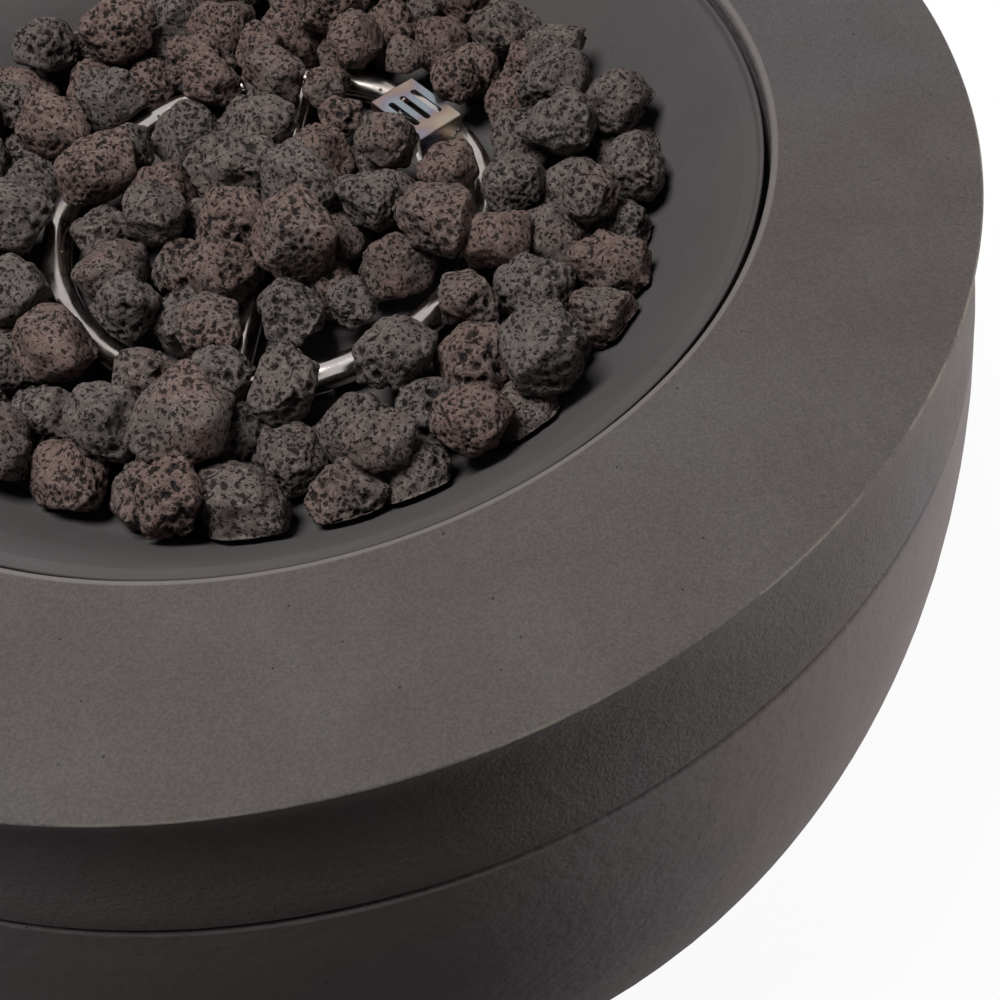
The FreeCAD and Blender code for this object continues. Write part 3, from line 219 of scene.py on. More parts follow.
def pinholes(tree, where, scale, size, share):
    """Round pits: cells of a Voronoi texture, kept where their own colour is low."""
    cells = add(tree, "ShaderNodeTexVoronoi", Vector=where, Scale=scale)
    pit = steps(tree, cells.outputs["Distance"], size, size * 0.35)
    chosen = steps(tree, add(tree, "ShaderNodeSeparateColor",
                             Color=cells.outputs["Color"]).outputs[0], share, share * 0.8)
    return maths(tree, "MULTIPLY", pit, chosen)


print("stone helpers ready")

# %% [markdown]
# The blast that roughens the top bites deepest at the lip of the opening. The pale
# broken line on the outer edge is partly wear from handling and partly a painted
# highlight where the rounded arris catches the light, and the rounded lip gets a
# pale painted highlight. These could be painted on an image, but masks made of
# distance and height stay sharp at any size. The noise that breaks the pale outer
# line keeps it from looking drawn.

# %% Wear and painted highlights on the edges of the top
# The pale of the outer arris line is partly real wear and partly a painted highlight; the lip's pale
# is a painted highlight.
pale_wear_and_highlight = (0.16, 0.142, 0.12)
lip_highlight_pale = (0.175, 0.157, 0.15)
plain_bite = 0.35


def wear_and_highlight_edges(tree, where, colour):
    """The pale outer line, part wear and part painted highlight, the painted highlight on the lip,
    and how deep the blast bites.
    """
    flat, height = radius_and_height(tree)
    out_there = steps(tree, flat, table_r - 0.0016, table_r - 0.0006)
    up_there = steps(tree, height, table_h - 0.0016, table_h - 0.0007)
    edge = maths(tree, "MULTIPLY", out_there, up_there)
    broken = steps(tree, noise_of(tree, where, 26.0, 6.0, 0.7), 0.46, 0.6, 0.0, 0.75)
    # Painted highlight with real wear: a pale broken line on the rounded outer arris.
    colour = blend(tree, maths(tree, "MULTIPLY", edge, broken), colour, pale_wear_and_highlight)
    # Painted highlight: a pale band on the rounded lip of the opening.
    lip = maths(tree, "MULTIPLY", steps(tree, flat, opening_r + 0.0036, opening_r + 0.0026),
                steps(tree, height, table_h - 0.006, table_h - 0.004, 0.0, 0.75))
    bite = steps(tree, flat, opening_r + 0.03, opening_r + 0.004, plain_bite, 0.95)
    return blend(tree, lip, colour, lip_highlight_pale), bite


print("worn edges at", table_r, "and", opening_r)

# %% [markdown]
# The top has a sandblasted face: fine grit, a few pinholes, and broad cloudy stains
# where it dried unevenly. The bowl and the dish come out of smoother moulds, so
# they get the same layers with less grit. One build for all three keeps them of one
# stone.

# %% Cast stone finishes
# Near black painted into the pinholes as painted shade inside the pits.
pinhole_shade = (0.014, 0.012, 0.011)


def cast_stone(name, warm, cool, pale, grit, wear_and_highlights=False):
    material, tree, shader = new_material(name, 0.8, gloss=0.03)
    where = place_of(tree)
    clouds = steps(tree, noise_of(tree, where, 5.5, 3.0, 0.5), 0.36, 0.64)
    colour = blend(tree, clouds, warm, cool)
    streaks = steps(tree, noise_of(tree, where, 17.0, 5.0, 0.6), 0.4, 0.75)
    colour = blend(tree, maths(tree, "MULTIPLY", streaks, 0.3), colour, pale)
    speck = steps(tree, noise_of(tree, where, 780.0, 2.0, 0.75), 0.32, 0.7, 1.0 - 0.16 * grit,
                  1.0 + 0.18 * grit)
    colour = blend(tree, 1.0, colour, add(tree, "ShaderNodeCombineColor", Red=speck, Green=speck,
                                          Blue=speck).outputs[0], "MULTIPLY")
    holes = maths(tree, "MAXIMUM", pinholes(tree, where, 62.0, 0.045, 0.16),
                  pinholes(tree, where, 190.0, 0.11, 0.1))
    # Painted shade: the pinholes are also darkened in the colour, not only bumped.
    colour = blend(tree, maths(tree, "MULTIPLY", holes, 0.7), colour, pinhole_shade)
    bite = plain_bite
    # Only the top gets the arris wear with its painted highlight, and the painted highlight on the
    # lip.
    if wear_and_highlights:
        colour, bite = wear_and_highlight_edges(tree, where, colour)
    tree.links.new(colour, shader.inputs["Base Color"])
    fine = noise_of(tree, where, 560.0, 3.0, 0.65)
    peel = noise_of(tree, where, 150.0, 2.0, 0.5)
    normal = bump(tree, shader, noise_of(tree, where, 30.0, 3.0, 0.5), 0.0012, 0.45)
    normal = bump(tree, shader, peel, 0.0012, bite, normal)
    normal = bump(tree, shader, fine, 0.0005, grit, normal)
    bump(tree, shader, maths(tree, "SUBTRACT", 1.0, holes), 0.0009, 0.8, normal)
    return material


stones = {
    "cast_stone_top": dict(warm=(0.083, 0.073, 0.068), cool=(0.092, 0.082, 0.084),
                           pale=(0.119, 0.109, 0.107), grit=0.8, wear_and_highlights=True),
    "cast_stone_bowl": dict(warm=(0.118, 0.1, 0.098), cool=(0.108, 0.096, 0.098),
                            pale=(0.15, 0.132, 0.133), grit=0.3),
    "cast_stone_dish": dict(warm=(0.084, 0.075, 0.073), cool=(0.08, 0.073, 0.074),
                            pale=(0.101, 0.092, 0.093), grit=0.2),
}
finishes = {name: cast_stone(name, **looks) for name, looks in stones.items()}
print("cast stone finishes", len(finishes))

# %% [markdown]
# Lava rock is stone froth. The rocks differ in hue from rust red to brown grey, by
# a tint that is stored on each rock's mesh below. The large pores are cut into that
# mesh and carry a stored depth, and the finish darkens them, because little light
# gets out of a deep pore. Finer pores, too small for the mesh, are Voronoi cells
# with torn edges that work on the colour and on the bump together.

# %% Torn places
def torn_place(tree, where, reach):
    """The place, shifted a little by a coloured noise, so that round cells tear."""
    bent = add(tree, "ShaderNodeVectorMath", Vector=where)
    warp = add(tree, "ShaderNodeTexNoise", Vector=where, Scale=260.0, Detail=3.0).outputs["Color"]
    shift = add(tree, "ShaderNodeVectorMath", operation="SCALE", Scale=reach)
    tree.links.new(warp, shift.inputs[0])
    tree.links.new(shift.outputs[0], bent.inputs[1])
    return bent.outputs[0]


print("tearing ready")

# %% [markdown]
# The finish goes from hue to dust to pores. A patch of noise and the rock's own
# tint choose between brown, rust and grey, dust lies on what stands out, and the
# pores come last, because they darken everything else.

# %% Lava rock finish
rock_brown = (0.108, 0.087, 0.08)
rock_rust = (0.132, 0.087, 0.076)
rock_grey = (0.102, 0.085, 0.079)
rock_dust = (0.225, 0.187, 0.171)
pore_dark = (0.007, 0.005, 0.005)


def lava_finish():
    material, tree, shader = new_material("lava_rock", 0.9, gloss=0.2)
    where = place_of(tree)
    tint = add(tree, "ShaderNodeAttribute", attribute_name="tint").outputs["Fac"]
    cloud = steps(tree, noise_of(tree, where, 40.0, 3.0, 0.6), 0.3, 0.7, -0.16, 0.16)
    patch = maths(tree, "ADD", tint, cloud)
    colour = blend(tree, steps(tree, patch, 0.5, 0.78), rock_brown, rock_rust)
    colour = blend(tree, steps(tree, patch, 0.36, 0.16), colour, rock_grey)
    dust = steps(tree, noise_of(tree, where, 300.0, 5.0, 0.75), 0.46, 0.7, 0.0, 0.6)
    colour = blend(tree, dust, colour, rock_dust)
    froth = torn_place(tree, where, 0.0045)
    middle = add(tree, "ShaderNodeTexVoronoi", Vector=froth, Scale=360.0).outputs["Distance"]
    small = add(tree, "ShaderNodeTexVoronoi", Vector=froth, Scale=800.0).outputs["Distance"]
    torn = noise_of(tree, where, 420.0, 2.0, 0.55)
    size = steps(tree, torn, 0.3, 0.7, -0.16, 0.16)
    wall = maths(tree, "MULTIPLY", steps(tree, maths(tree, "ADD", middle, size), 0.25, 0.39),
                 steps(tree, maths(tree, "ADD", small, size), 0.16, 0.34, 0.4, 1.0))
    pore = add(tree, "ShaderNodeAttribute", attribute_name="pore").outputs["Fac"]
    light = maths(tree, "MULTIPLY", steps(tree, pore, 0.3, 0.75, 1.0, 0.12),
                  steps(tree, wall, 0.0, 0.8, 0.1, 1.0))
    colour = blend(tree, light, pore_dark, colour)
    tree.links.new(colour, shader.inputs["Base Color"])
    normal = bump(tree, shader, wall, 0.002, 1.0)
    bump(tree, shader, noise_of(tree, where, 1100.0, 3.0, 0.7), 0.0006, 0.9, normal)
    return material


finishes["lava_rock"] = lava_finish()
print("lava rock finish")

# %% [markdown]
# Metals share one build: a base colour, fine scratches that are long one way, and
# a slow change of roughness from handling and heat. Stainless steel that has been
# hot takes on straw, brown, violet and blue oxide colours, so a metal can also get
# a tint that follows a wave of noise.

# %% Build of a metal finish
oxide_colours = ((0.3, (0.3, 0.28, 0.26)), (0.42, (0.36, 0.27, 0.17)), (0.5, (0.26, 0.15, 0.13)),
                 (0.57, (0.17, 0.15, 0.25)), (0.66, (0.2, 0.27, 0.33)))


def oxide_of(tree, where):
    """Oxide colours along a ramp that follows a slow wave of noise."""
    ramp = add(tree, "ShaderNodeValToRGB", Fac=noise_of(tree, where, 30.0, 2.0, 0.5))
    while len(ramp.color_ramp.elements) < len(oxide_colours):
        ramp.color_ramp.elements.new(0.5)
    for stop, (at, rgb) in zip(ramp.color_ramp.elements, oxide_colours):
        stop.position = at
        stop.color = rgb + (1.0,)
    return ramp.outputs["Color"]


def metal(name, colour, roughness, grain=(1, 1, 1), scratch=0.25, tint=0.0,
          stain=(0.25, 0.2, 0.15)):
    material, tree, shader = new_material(name, roughness, 1.0)
    where = place_of(tree)
    lined = place_of(tree, grain)
    scratches = noise_of(tree, lined, 700.0, 4.0, 0.7)
    smudge = steps(tree, noise_of(tree, where, 45.0, 4.0, 0.6), 0.35, 0.7)
    base = blend(tree, maths(tree, "MULTIPLY", smudge, 0.35), colour, stain)
    if tint > 0:
        base = blend(tree, tint, base, oxide_of(tree, where))
    tree.links.new(base, shader.inputs["Base Color"])
    tree.links.new(maths(tree, "ADD", roughness - 0.06, maths(tree, "MULTIPLY", smudge, 0.16)),
                   shader.inputs["Roughness"])
    bump(tree, shader, scratches, 0.0001, scratch)
    return material


print("oxide colours", len(oxide_colours))

# %% [markdown]
# Each metal of the table is one line. Only the burner's tube, its hood and the
# sheet near them have been hot. The grain is the stretch of the scratches: a number
# under 1 makes them long in that direction, as a brush or a rolling mill does.

# %% Metal finishes
metals = {
    "stainless_tube": dict(colour=(0.46, 0.43, 0.41), roughness=0.2, grain=(1, 1, 3),
                           scratch=0.15, tint=0.15, stain=(0.22, 0.17, 0.14)),
    "stainless_sheet": dict(colour=(0.4, 0.385, 0.36), roughness=0.32, grain=(0.1, 1, 1),
                            scratch=0.35, tint=0.1),
    "heat_tinted_stainless": dict(colour=(0.3, 0.28, 0.26), roughness=0.27, grain=(1, 0.15, 1),
                                  scratch=0.3, tint=0.6),
    "zinc_steel": dict(colour=(0.5, 0.5, 0.51), roughness=0.38),
    "galvanised_sheet": dict(colour=(0.45, 0.46, 0.47), roughness=0.42, stain=(0.3, 0.31, 0.33)),
    "brushed_panel": dict(colour=(0.56, 0.56, 0.56), roughness=0.34, grain=(0.03, 1, 1), scratch=0.5),
    "spring_steel": dict(colour=(0.42, 0.42, 0.42), roughness=0.3),
    "screw_steel": dict(colour=(0.55, 0.55, 0.55), roughness=0.28),
    "brass": dict(colour=(0.72, 0.53, 0.25), roughness=0.3, stain=(0.4, 0.26, 0.1)),
    "valve_aluminium": dict(colour=(0.6, 0.6, 0.61), roughness=0.5, stain=(0.4, 0.4, 0.4)),
    "aluminium_pipe": dict(colour=(0.66, 0.66, 0.67), roughness=0.33),
    "copper_sensor": dict(colour=(0.6, 0.36, 0.24), roughness=0.35, stain=(0.3, 0.13, 0.08)),
}
finishes.update({name: metal(name, **looks) for name, looks in metals.items()})
print("metal finishes", len(metals))

# %% [markdown]
# Plastic, rubber, ceramic and paint aren't metals: their colour is diffuse and
# their gloss is white. A fine moulded grain in the bump and a faint cloud in the
# colour keep them from looking like flat paint.

# %% Finishes that aren't metal
def moulded(name, colour, roughness, grain, cloud=0.35):
    material, tree, shader = new_material(name, roughness)
    where = place_of(tree)
    wear = steps(tree, noise_of(tree, where, 60.0, 4.0, 0.6), 0.35, 0.75)
    lighter = tuple(min(1.0, c * 1.6 + 0.01) for c in colour)
    base = blend(tree, maths(tree, "MULTIPLY", wear, cloud), colour, lighter)
    tree.links.new(base, shader.inputs["Base Color"])
    bump(tree, shader, noise_of(tree, where, grain, 3.0, 0.6), 0.0002, 0.4)
    return material


others = {
    "black_plastic": dict(colour=(0.018, 0.018, 0.019), roughness=0.38, grain=1500.0),
    "button_plastic": dict(colour=(0.024, 0.024, 0.025), roughness=0.3, grain=1800.0),
    "black_rubber": dict(colour=(0.016, 0.016, 0.016), roughness=0.75, grain=900.0, cloud=0.6),
    "silicone_wire": dict(colour=(0.32, 0.03, 0.02), roughness=0.5, grain=700.0),
    "white_ceramic": dict(colour=(0.72, 0.7, 0.66), roughness=0.25, grain=500.0, cloud=0.2),
    "battery_can": dict(colour=(0.1, 0.1, 0.12), roughness=0.35, grain=600.0),
}
finishes.update({name: moulded(name, **looks) for name, looks in others.items()})
print("other finishes", len(others))

# %% [markdown]
# The record names a finish for every solid. Pieces that keep their solid, such as
# the bowl, the valve and the screws, only need that finish in place of the plain
# one they come with. The solids' meshes are left as they are.

# %% Finishes on the solids
for name, node in nodes.items():
    node.data.materials.clear()
    node.data.materials.append(finishes[slot_of[name]])
print("finished nodes", len(nodes), "missing", sorted(set(slot_of.values()) - set(finishes)))

# %% [markdown]
# Top and dish are round castings. They could be cut from cylinders, but a turned
# part is easier to read: half of its section is drawn and spun round the table's
# axis. Corner vertices are rounded with a vertex bevel while the section is still
# a loop of edges, which costs nothing and gives every arris its own radius.

# %% Helpers for turned pieces
def section(points):
    """A closed loop of edges in the XZ plane; each point is (radius, height, rounding)."""
    bm = bmesh.new()
    loop = [bm.verts.new((r, 0, z)) for r, z, rounding in points]
    for a, b in zip(loop, loop[1:] + loop[:1]):
        bm.edges.new((a, b))
    for vert, (_, _, rounding) in zip(loop, points):
        if rounding > 0:
            bmesh.ops.bevel(bm, geom=[vert], offset=rounding, affect="VERTICES", segments=6,
                            profile=0.5, material=-1, clamp_overlap=True)
    return bm


def spun(bm, rounds):
    bmesh.ops.spin(bm, geom=bm.verts[:] + bm.edges[:], cent=(0, 0, 0), axis=(0, 0, 1),
                   angle=2 * math.pi, steps=rounds, use_merge=True)
    bmesh.ops.remove_doubles(bm, verts=bm.verts, dist=1e-6)
    bmesh.ops.recalc_face_normals(bm, faces=bm.faces)
    return bm


def roughen(bm, amount, scale):
    """Moves each vertex along its normal by a smooth noise, as hand finishing does."""
    bm.normal_update()
    for v in bm.verts:
        v.co += v.normal * (amount * noise.noise(v.co * scale))


print("turning helpers ready")

# %% [markdown]
# A finished mesh becomes a piece in four steps: an object, a finish, the body that
# it rides on, and the solid that it stands in for. Edges sharper than the given
# angle stay crisp, and all others are shaded smooth. Small parts are first joined
# into the mesh of their piece.

# %% Helpers that finish a piece
def join_in(bm, part):
    """Adds one bmesh to another, by way of a mesh that is thrown away."""
    mesh = bpy.data.meshes.new("part")
    part.to_mesh(mesh)
    part.free()
    bm.from_mesh(mesh)
    bpy.data.meshes.remove(mesh)


def as_piece(name, bm, slot_name, node_name, sharp=35):
    mesh = bpy.data.meshes.new(name)
    bm.to_mesh(mesh)
    bm.free()
    mesh.shade_smooth()
    mesh.set_sharp_from_angle(angle=math.radians(sharp))
    mesh.materials.append(finishes[slot_name])
    piece = bpy.data.objects.new(name, mesh)
    bpy.context.collection.objects.link(piece)
    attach(piece, "table")
    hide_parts(node_name)
    print(name, "faces", len(mesh.polygons))
    return piece


print("piece helpers ready")

# %% [markdown]
# The top is one casting: a wide flat ring, a band that dips in a little under the
# arris and flares out again to the crease, and a short wall round the fire opening.
# Underneath it is hollow, with a lip that sits in the bowl and a ledge that carries
# the dish. The band could be a straight cone, but its slight S is what catches the
# light, so it is drawn point by point. Its foot is rolled, so that a shadow line
# parts it from the bowl.

# %% Cast top
crease_r = 0.363
crease_z = 0.400
skirt_r = 0.3418
skirt_inner_r = 0.331
skirt_z = 0.4068
ceiling_z = 0.45
seat_wall_r = 0.276
seat_foot_z = 0.438
seat_bore_r = 0.2459
seat_z = 0.452
band_section = ((0.004, -0.0010), (0.009, -0.0019), (0.016, -0.0022), (0.024, -0.0019),
                (0.034, -0.0008), (0.045, 0.0010), (0.056, 0.0033), (0.066, 0.0058))
top_section = [(opening_r, table_h, 0.0028), (0.29, table_h, 0), (0.325, table_h, 0),
               (table_r, table_h, 0.0015)]
top_section += [(table_r + out, table_h - down, 0) for down, out in band_section]
top_section += [
    (crease_r, crease_z, 0.0055), (skirt_r, crease_z, 0), (skirt_r, skirt_z, 0),
    (skirt_inner_r, skirt_z, 0), (skirt_inner_r, ceiling_z, 0), (seat_wall_r, ceiling_z, 0),
    (seat_wall_r, seat_foot_z, 0), (seat_bore_r, seat_foot_z, 0), (seat_bore_r, seat_z, 0),
    (opening_r, seat_z, 0),
]
top_mesh = spun(section(top_section), 360)
roughen(top_mesh, 0.0004, 14.0)
as_piece("cast_top", top_mesh, "cast_stone_top", "tabletop")

# %% [markdown]
# The fire dish drops into the opening and leaves a dark gap of 3 mm round itself.
# Inside its narrow raised rim runs a shallow cove, then a smooth cone falls to a
# flat floor. A lathe profile with a few rounded corners gives all of that at once,
# and its underside follows the upper side, as a casting of even wall does.

# %% Fire dish
dish_floor_z = 0.406
dish_under_z = 0.393
stub_hole_r = 0.0115
cone_foot_r = 0.19
cone_slope = 1.156
cone_round = 0.004
rim_r = 0.2529
rim_z = 0.4738
dish_section = [
    (stub_hole_r, dish_floor_z, 0.001), (0.09, dish_floor_z, 0),
    (cone_foot_r, dish_floor_z, 0.0155), (0.2442, 0.4684, 0.0014), (0.2494, 0.469, 0.0022),
    (0.251, rim_z, 0.0008), (rim_r, rim_z, 0.001), (rim_r, seat_z, 0), (0.2439, seat_z, 0),
    (0.2439, 0.4394, 0), (0.2074, dish_under_z, 0.01), (stub_hole_r, dish_under_z, 0),
]
dish_mesh = spun(section(dish_section), 300)
roughen(dish_mesh, 0.0003, 18.0)
as_piece("dish", dish_mesh, "cast_stone_dish", "fire_dish")

# %% [markdown]
# The burner is a ring of polished tube with a crossbar that feeds it. A torus has
# no bmesh operator, so a circle spun round the table's axis makes the ring. The
# circle is turned so that one row of faces looks where the gas ports point.

# %% Ring tube
ring_r = 0.112
ring_z = 0.418
tube_r = 0.008
ring_rounds = 288
ring_sides = 24
port_tilt = math.radians(35)
half_round = math.pi / ring_rounds
port_side = math.radians(90) + port_tilt - math.pi / ring_sides
burner = bmesh.new()
bmesh.ops.create_circle(
    burner, segments=ring_sides, radius=tube_r,
    matrix=Matrix.Rotation(-half_round, 4, "Z") @ Matrix.Translation((ring_r, 0, ring_z))
    @ Matrix.Rotation(math.radians(90), 4, "X") @ Matrix.Rotation(port_side, 4, "Z"))
spun(burner, ring_rounds)
print("ring faces", len(burner.faces))

# %% [markdown]
# Gas leaves the ring through small ports on its upper inner side. They could be cut
# with a Boolean, but the ring's grid is fine enough that one face is as wide as a
# port. So each port is such a face, made a little smaller, with its corners cut,
# and pushed in.

# %% Gas ports
bar_angle = math.radians(70)
port_count = 36
port_depth = 0.0025
port_edge = 0.00015
port_corner = 0.00055


def port_faces(bm):
    """The face nearest to each port, the first one half a pitch past the crossbar."""
    found = []
    for i in range(port_count):
        turn_by = bar_angle + (i + 0.5) * 2 * math.pi / port_count
        out = ring_r - tube_r * math.sin(port_tilt)
        spot = Vector((out * math.cos(turn_by), out * math.sin(turn_by),
                       ring_z + tube_r * math.cos(port_tilt)))
        found.append(min(bm.faces, key=lambda f: (f.calc_center_median() - spot).length_squared))
    return found


ports = port_faces(burner)
bmesh.ops.inset_individual(burner, faces=ports, thickness=port_edge)
corners = list({v for f in port_faces(burner) for v in f.verts})
bmesh.ops.bevel(burner, geom=corners, offset=port_corner, affect="VERTICES", segments=1,
                profile=0.5, material=-1)
for face in bmesh.ops.extrude_discrete_faces(burner, faces=port_faces(burner))["faces"]:
    bmesh.ops.translate(burner, verts=face.verts, vec=face.normal * -port_depth)
print("ports", len(ports), "faces", len(burner.faces))

# %% [markdown]
# The crossbar runs through the middle into a hub, and a threaded stub goes down
# from the hub through the dish. Hub and stub are turned like the castings. A real
# helix would need far more faces than a thread under the dish is worth, so the
# thread is a row of grooves.

# %% Crossbar, hub and stub
bar_r = 0.0065
hub_r = 0.016
stub_r = 0.0105
stub_bore_r = 0.0075
thread_pitch = 0.0015
thread_depth = 0.0008
hub_foot_z = dish_floor_z + 0.0005
hub_top_z = ring_z + bar_r + 0.001
stub_foot_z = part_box("burner_ring")[0][2]
bar_turn = Matrix.Rotation(bar_angle, 4, "Z")
bmesh.ops.create_cone(burner, cap_ends=True, segments=40, radius1=bar_r, radius2=bar_r,
                      depth=2 * ring_r, matrix=Matrix.Translation((0, 0, ring_z)) @ bar_turn
                      @ Matrix.Rotation(math.radians(90), 4, "Y"))


hub_section = [(0, hub_foot_z, 0), (hub_r, hub_foot_z, 0.0006), (hub_r, hub_top_z, 0.0016),
               (0, hub_top_z, 0)]
join_in(burner, spun(section(hub_section), 64))
thread = []
for i in range(int((hub_foot_z - stub_foot_z) / thread_pitch)):
    foot = stub_foot_z + i * thread_pitch
    thread += [(stub_r - thread_depth, foot, 0), (stub_r, foot + thread_pitch / 2, 0)]
stub_section = [(stub_bore_r, stub_foot_z, 0)] + thread
stub_section += [(stub_r, hub_foot_z + 0.001, 0), (stub_bore_r, hub_foot_z + 0.001, 0)]
join_in(burner, spun(section(stub_section), 48))
print("thread grooves", len(thread) // 2)

# %% [markdown]
# The bar is welded to the ring at both ends. A weld is a bead round the bar, so it
# is a small circle spun round. Bent into a saddle, it follows the ring's tube, and
# a wave along it gives the ripple of a hand weld.

# %% Welds
weld_r = 0.0012
ripple = 0.03
ripple_count = 18
bead = bmesh.new()
bmesh.ops.create_circle(bead, segments=8, radius=weld_r,
                        matrix=Matrix.Translation((bar_r, 0, 0))
                        @ Matrix.Rotation(math.radians(90), 4, "X"))
spun(bead, 72)
for v in bead.verts:
    around = math.atan2(v.co.y, v.co.x)
    reach = bar_r * math.cos(around)
    v.co *= 1 + ripple * math.sin(ripple_count * around)
    v.co.z += ring_r - math.sqrt(tube_r * tube_r - reach * reach)
for side in (0, math.pi):
    copy = bead.copy()
    bmesh.ops.transform(copy, verts=copy.verts, matrix=Matrix.Translation((0, 0, ring_z))
                        @ Matrix.Rotation(bar_angle + side, 4, "Z")
                        @ Matrix.Rotation(math.radians(90), 4, "Y"))
    join_in(burner, copy)
bead.free()
as_piece("ring_burner", burner, "stainless_tube", "burner_ring", sharp=40)

# %% [markdown]
# The hood is one strip of sheet, bent down at both ends, with three slots punched
# in its top. It covers the spark, the sensor and their plate. A cube with cuts
# would look like a block, so the hood is made as a tinsmith makes it: first the
# flat top, filled between its outline and the slots.

# %% Flat top of the hood
pilot_angle = math.radians(25)
pilot_r = 0.098
hood_w = 0.028
hood_l = 0.044
foot_l = 0.066
sheet_t = 0.0012
bend_r = 0.002
slot_r = 0.0018
slot_reach = 0.0125 - slot_r
slot_pitch = 0.0076
hood_top_z = dish_floor_z + 0.03
hood = bmesh.new()
flat_y = hood_l / 2 - bend_r
rim = [hood.verts.new((x, y, hood_top_z)) for x, y in (
    (-hood_w / 2, -flat_y), (hood_w / 2, -flat_y), (hood_w / 2, flat_y), (-hood_w / 2, flat_y))]
for a, b in zip(rim, rim[1:] + rim[:1]):
    hood.edges.new((a, b))
for i in (-1, 0, 1):
    hole = bmesh.ops.create_circle(hood, segments=20, radius=slot_r,
                                   matrix=Matrix.Rotation(math.pi / 20, 4, "Z"))["verts"]
    for v in hole:
        v.co += Vector((i * slot_pitch, math.copysign(slot_reach, v.co.y), hood_top_z))
bmesh.ops.triangle_fill(hood, edges=hood.edges[:], use_beauty=True, use_dissolve=False)
print("flat top faces", len(hood.faces))

# %% [markdown]
# Both ends of the hood have the same outline. Where the ring passes, an arc is cut
# out of them, a little wider than the tube, and the corner away from the ring is
# chamfered. An arc of a few points is enough for an edge this small.

# %% Outline of the hood's ends
hood_foot_z = dish_floor_z + 2 * sheet_t
foot_bend_z = hood_foot_z + bend_r
ring_x = math.sqrt(ring_r ** 2 - (hood_l / 2) ** 2) - pilot_r
notch_r = tube_r + 0.0015
notch_steps = 8
toe_in = 0.002
toe_up = 0.003
notch = []
for i in range(notch_steps + 1):
    t = math.radians(75 + i * 105 / notch_steps)
    notch.append((ring_x + notch_r * math.cos(t), ring_z + notch_r * math.sin(t)))
notch = [(x, z) for x, z in notch if x < hood_w / 2]
end_outline = [(hood_w / 2, notch[0][1])] + notch
end_outline += [(ring_x - notch_r, foot_bend_z), (-hood_w / 2 + toe_in, foot_bend_z),
                (-hood_w / 2, foot_bend_z + toe_up)]
print("points of an end", len(end_outline))

# %% [markdown]
# The end edges of the top are spun round the bends, an end plate goes down from
# each bend, and its lowest edge is spun out into a foot that is screwed down. A
# bend that has its true radius catches the light as a bright line, which a sharp
# fold doesn't. The sheet gets its thickness last, so that every bend keeps it.

# %% Ends and feet of the hood
for side in (-1, 1):
    fold = [e for e in hood.edges if all(abs(v.co.y - side * flat_y) < 1e-6 for v in e.verts)
            and e.is_boundary]
    bent = bmesh.ops.spin(hood, geom=fold, cent=(0, side * flat_y, hood_top_z - bend_r),
                          axis=(1, 0, 0), angle=-side * math.radians(90), steps=6)["geom_last"]
    low = sorted((v for v in bent if isinstance(v, bmesh.types.BMVert)), key=lambda v: v.co.x)
    y = side * hood_l / 2
    plate = [low[1]] + [hood.verts.new((x, y, z)) for x, z in end_outline] + [low[0]]
    hood.faces.new(plate)
    toe = [e for e in hood.edges if all(abs(v.co.z - foot_bend_z) < 1e-6 for v in e.verts)
           and abs(sum(v.co.y for v in e.verts) / 2 - y) < 1e-6]
    turned = bmesh.ops.spin(hood, geom=toe, cent=(0, y + side * bend_r, foot_bend_z),
                            axis=(1, 0, 0), angle=side * math.radians(90), steps=5)["geom_last"]
    tip = [e for e in turned if isinstance(e, bmesh.types.BMEdge)]
    out = bmesh.ops.extrude_edge_only(hood, edges=tip)["geom"]
    far = [v for v in out if isinstance(v, bmesh.types.BMVert)]
    bmesh.ops.translate(hood, verts=far, vec=(0, side * (foot_l / 2 - hood_l / 2 - bend_r), 0))
bmesh.ops.remove_doubles(hood, verts=hood.verts, dist=1e-6)
bmesh.ops.recalc_face_normals(hood, faces=hood.faces)
if max(hood.faces, key=lambda f: f.calc_center_median().z).normal.z < 0:
    bmesh.ops.reverse_faces(hood, faces=hood.faces)
bmesh.ops.solidify(hood, geom=hood.faces[:], thickness=sheet_t)
hood_heights = [v.co.z for v in hood.verts]
print("hood from z", round(min(hood_heights), 4), "to", round(max(hood_heights), 4))
bmesh.ops.transform(hood, verts=hood.verts, matrix=Matrix.Rotation(pilot_angle, 4, "Z")
                    @ Matrix.Translation((pilot_r, 0, 0)))
as_piece("slotted_hood", hood, "heat_tinted_stainless", "igniter_hood", sharp=40)

# %% [markdown]
# Two coil springs push the knob and the button back out. A spring could follow a
# curve, but a circle of wire that is spun round the spring's axis while it climbs
# is one operator, and both ends are closed. A spring stands on a fixed face.

# %% Coil springs
niche_z = 0.319
niche_back_y = 0.327245
valve_x = -0.035
igniter_x = 0.038
coil_steps = 32


def coil_spring(name, foot, radius, wire, length, turns, node_name):
    """A spring that stands at foot and points out of the niche, along +Y."""
    bm = bmesh.new()
    start = foot + Vector((radius, wire / 2, 0))
    bmesh.ops.create_circle(bm, segments=10, radius=wire / 2, matrix=Matrix.Translation(start))
    bmesh.ops.spin(bm, geom=bm.verts[:] + bm.edges[:], cent=foot, axis=(0, 1, 0),
                   dvec=(0, (length - wire) / (turns * coil_steps), 0), angle=2 * math.pi * turns,
                   steps=turns * coil_steps)
    bmesh.ops.holes_fill(bm, edges=[e for e in bm.edges if e.is_boundary], sides=0)
    bmesh.ops.recalc_face_normals(bm, faces=bm.faces)
    piece = as_piece(name, bm, "spring_steel", node_name, sharp=60)
    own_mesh(piece)


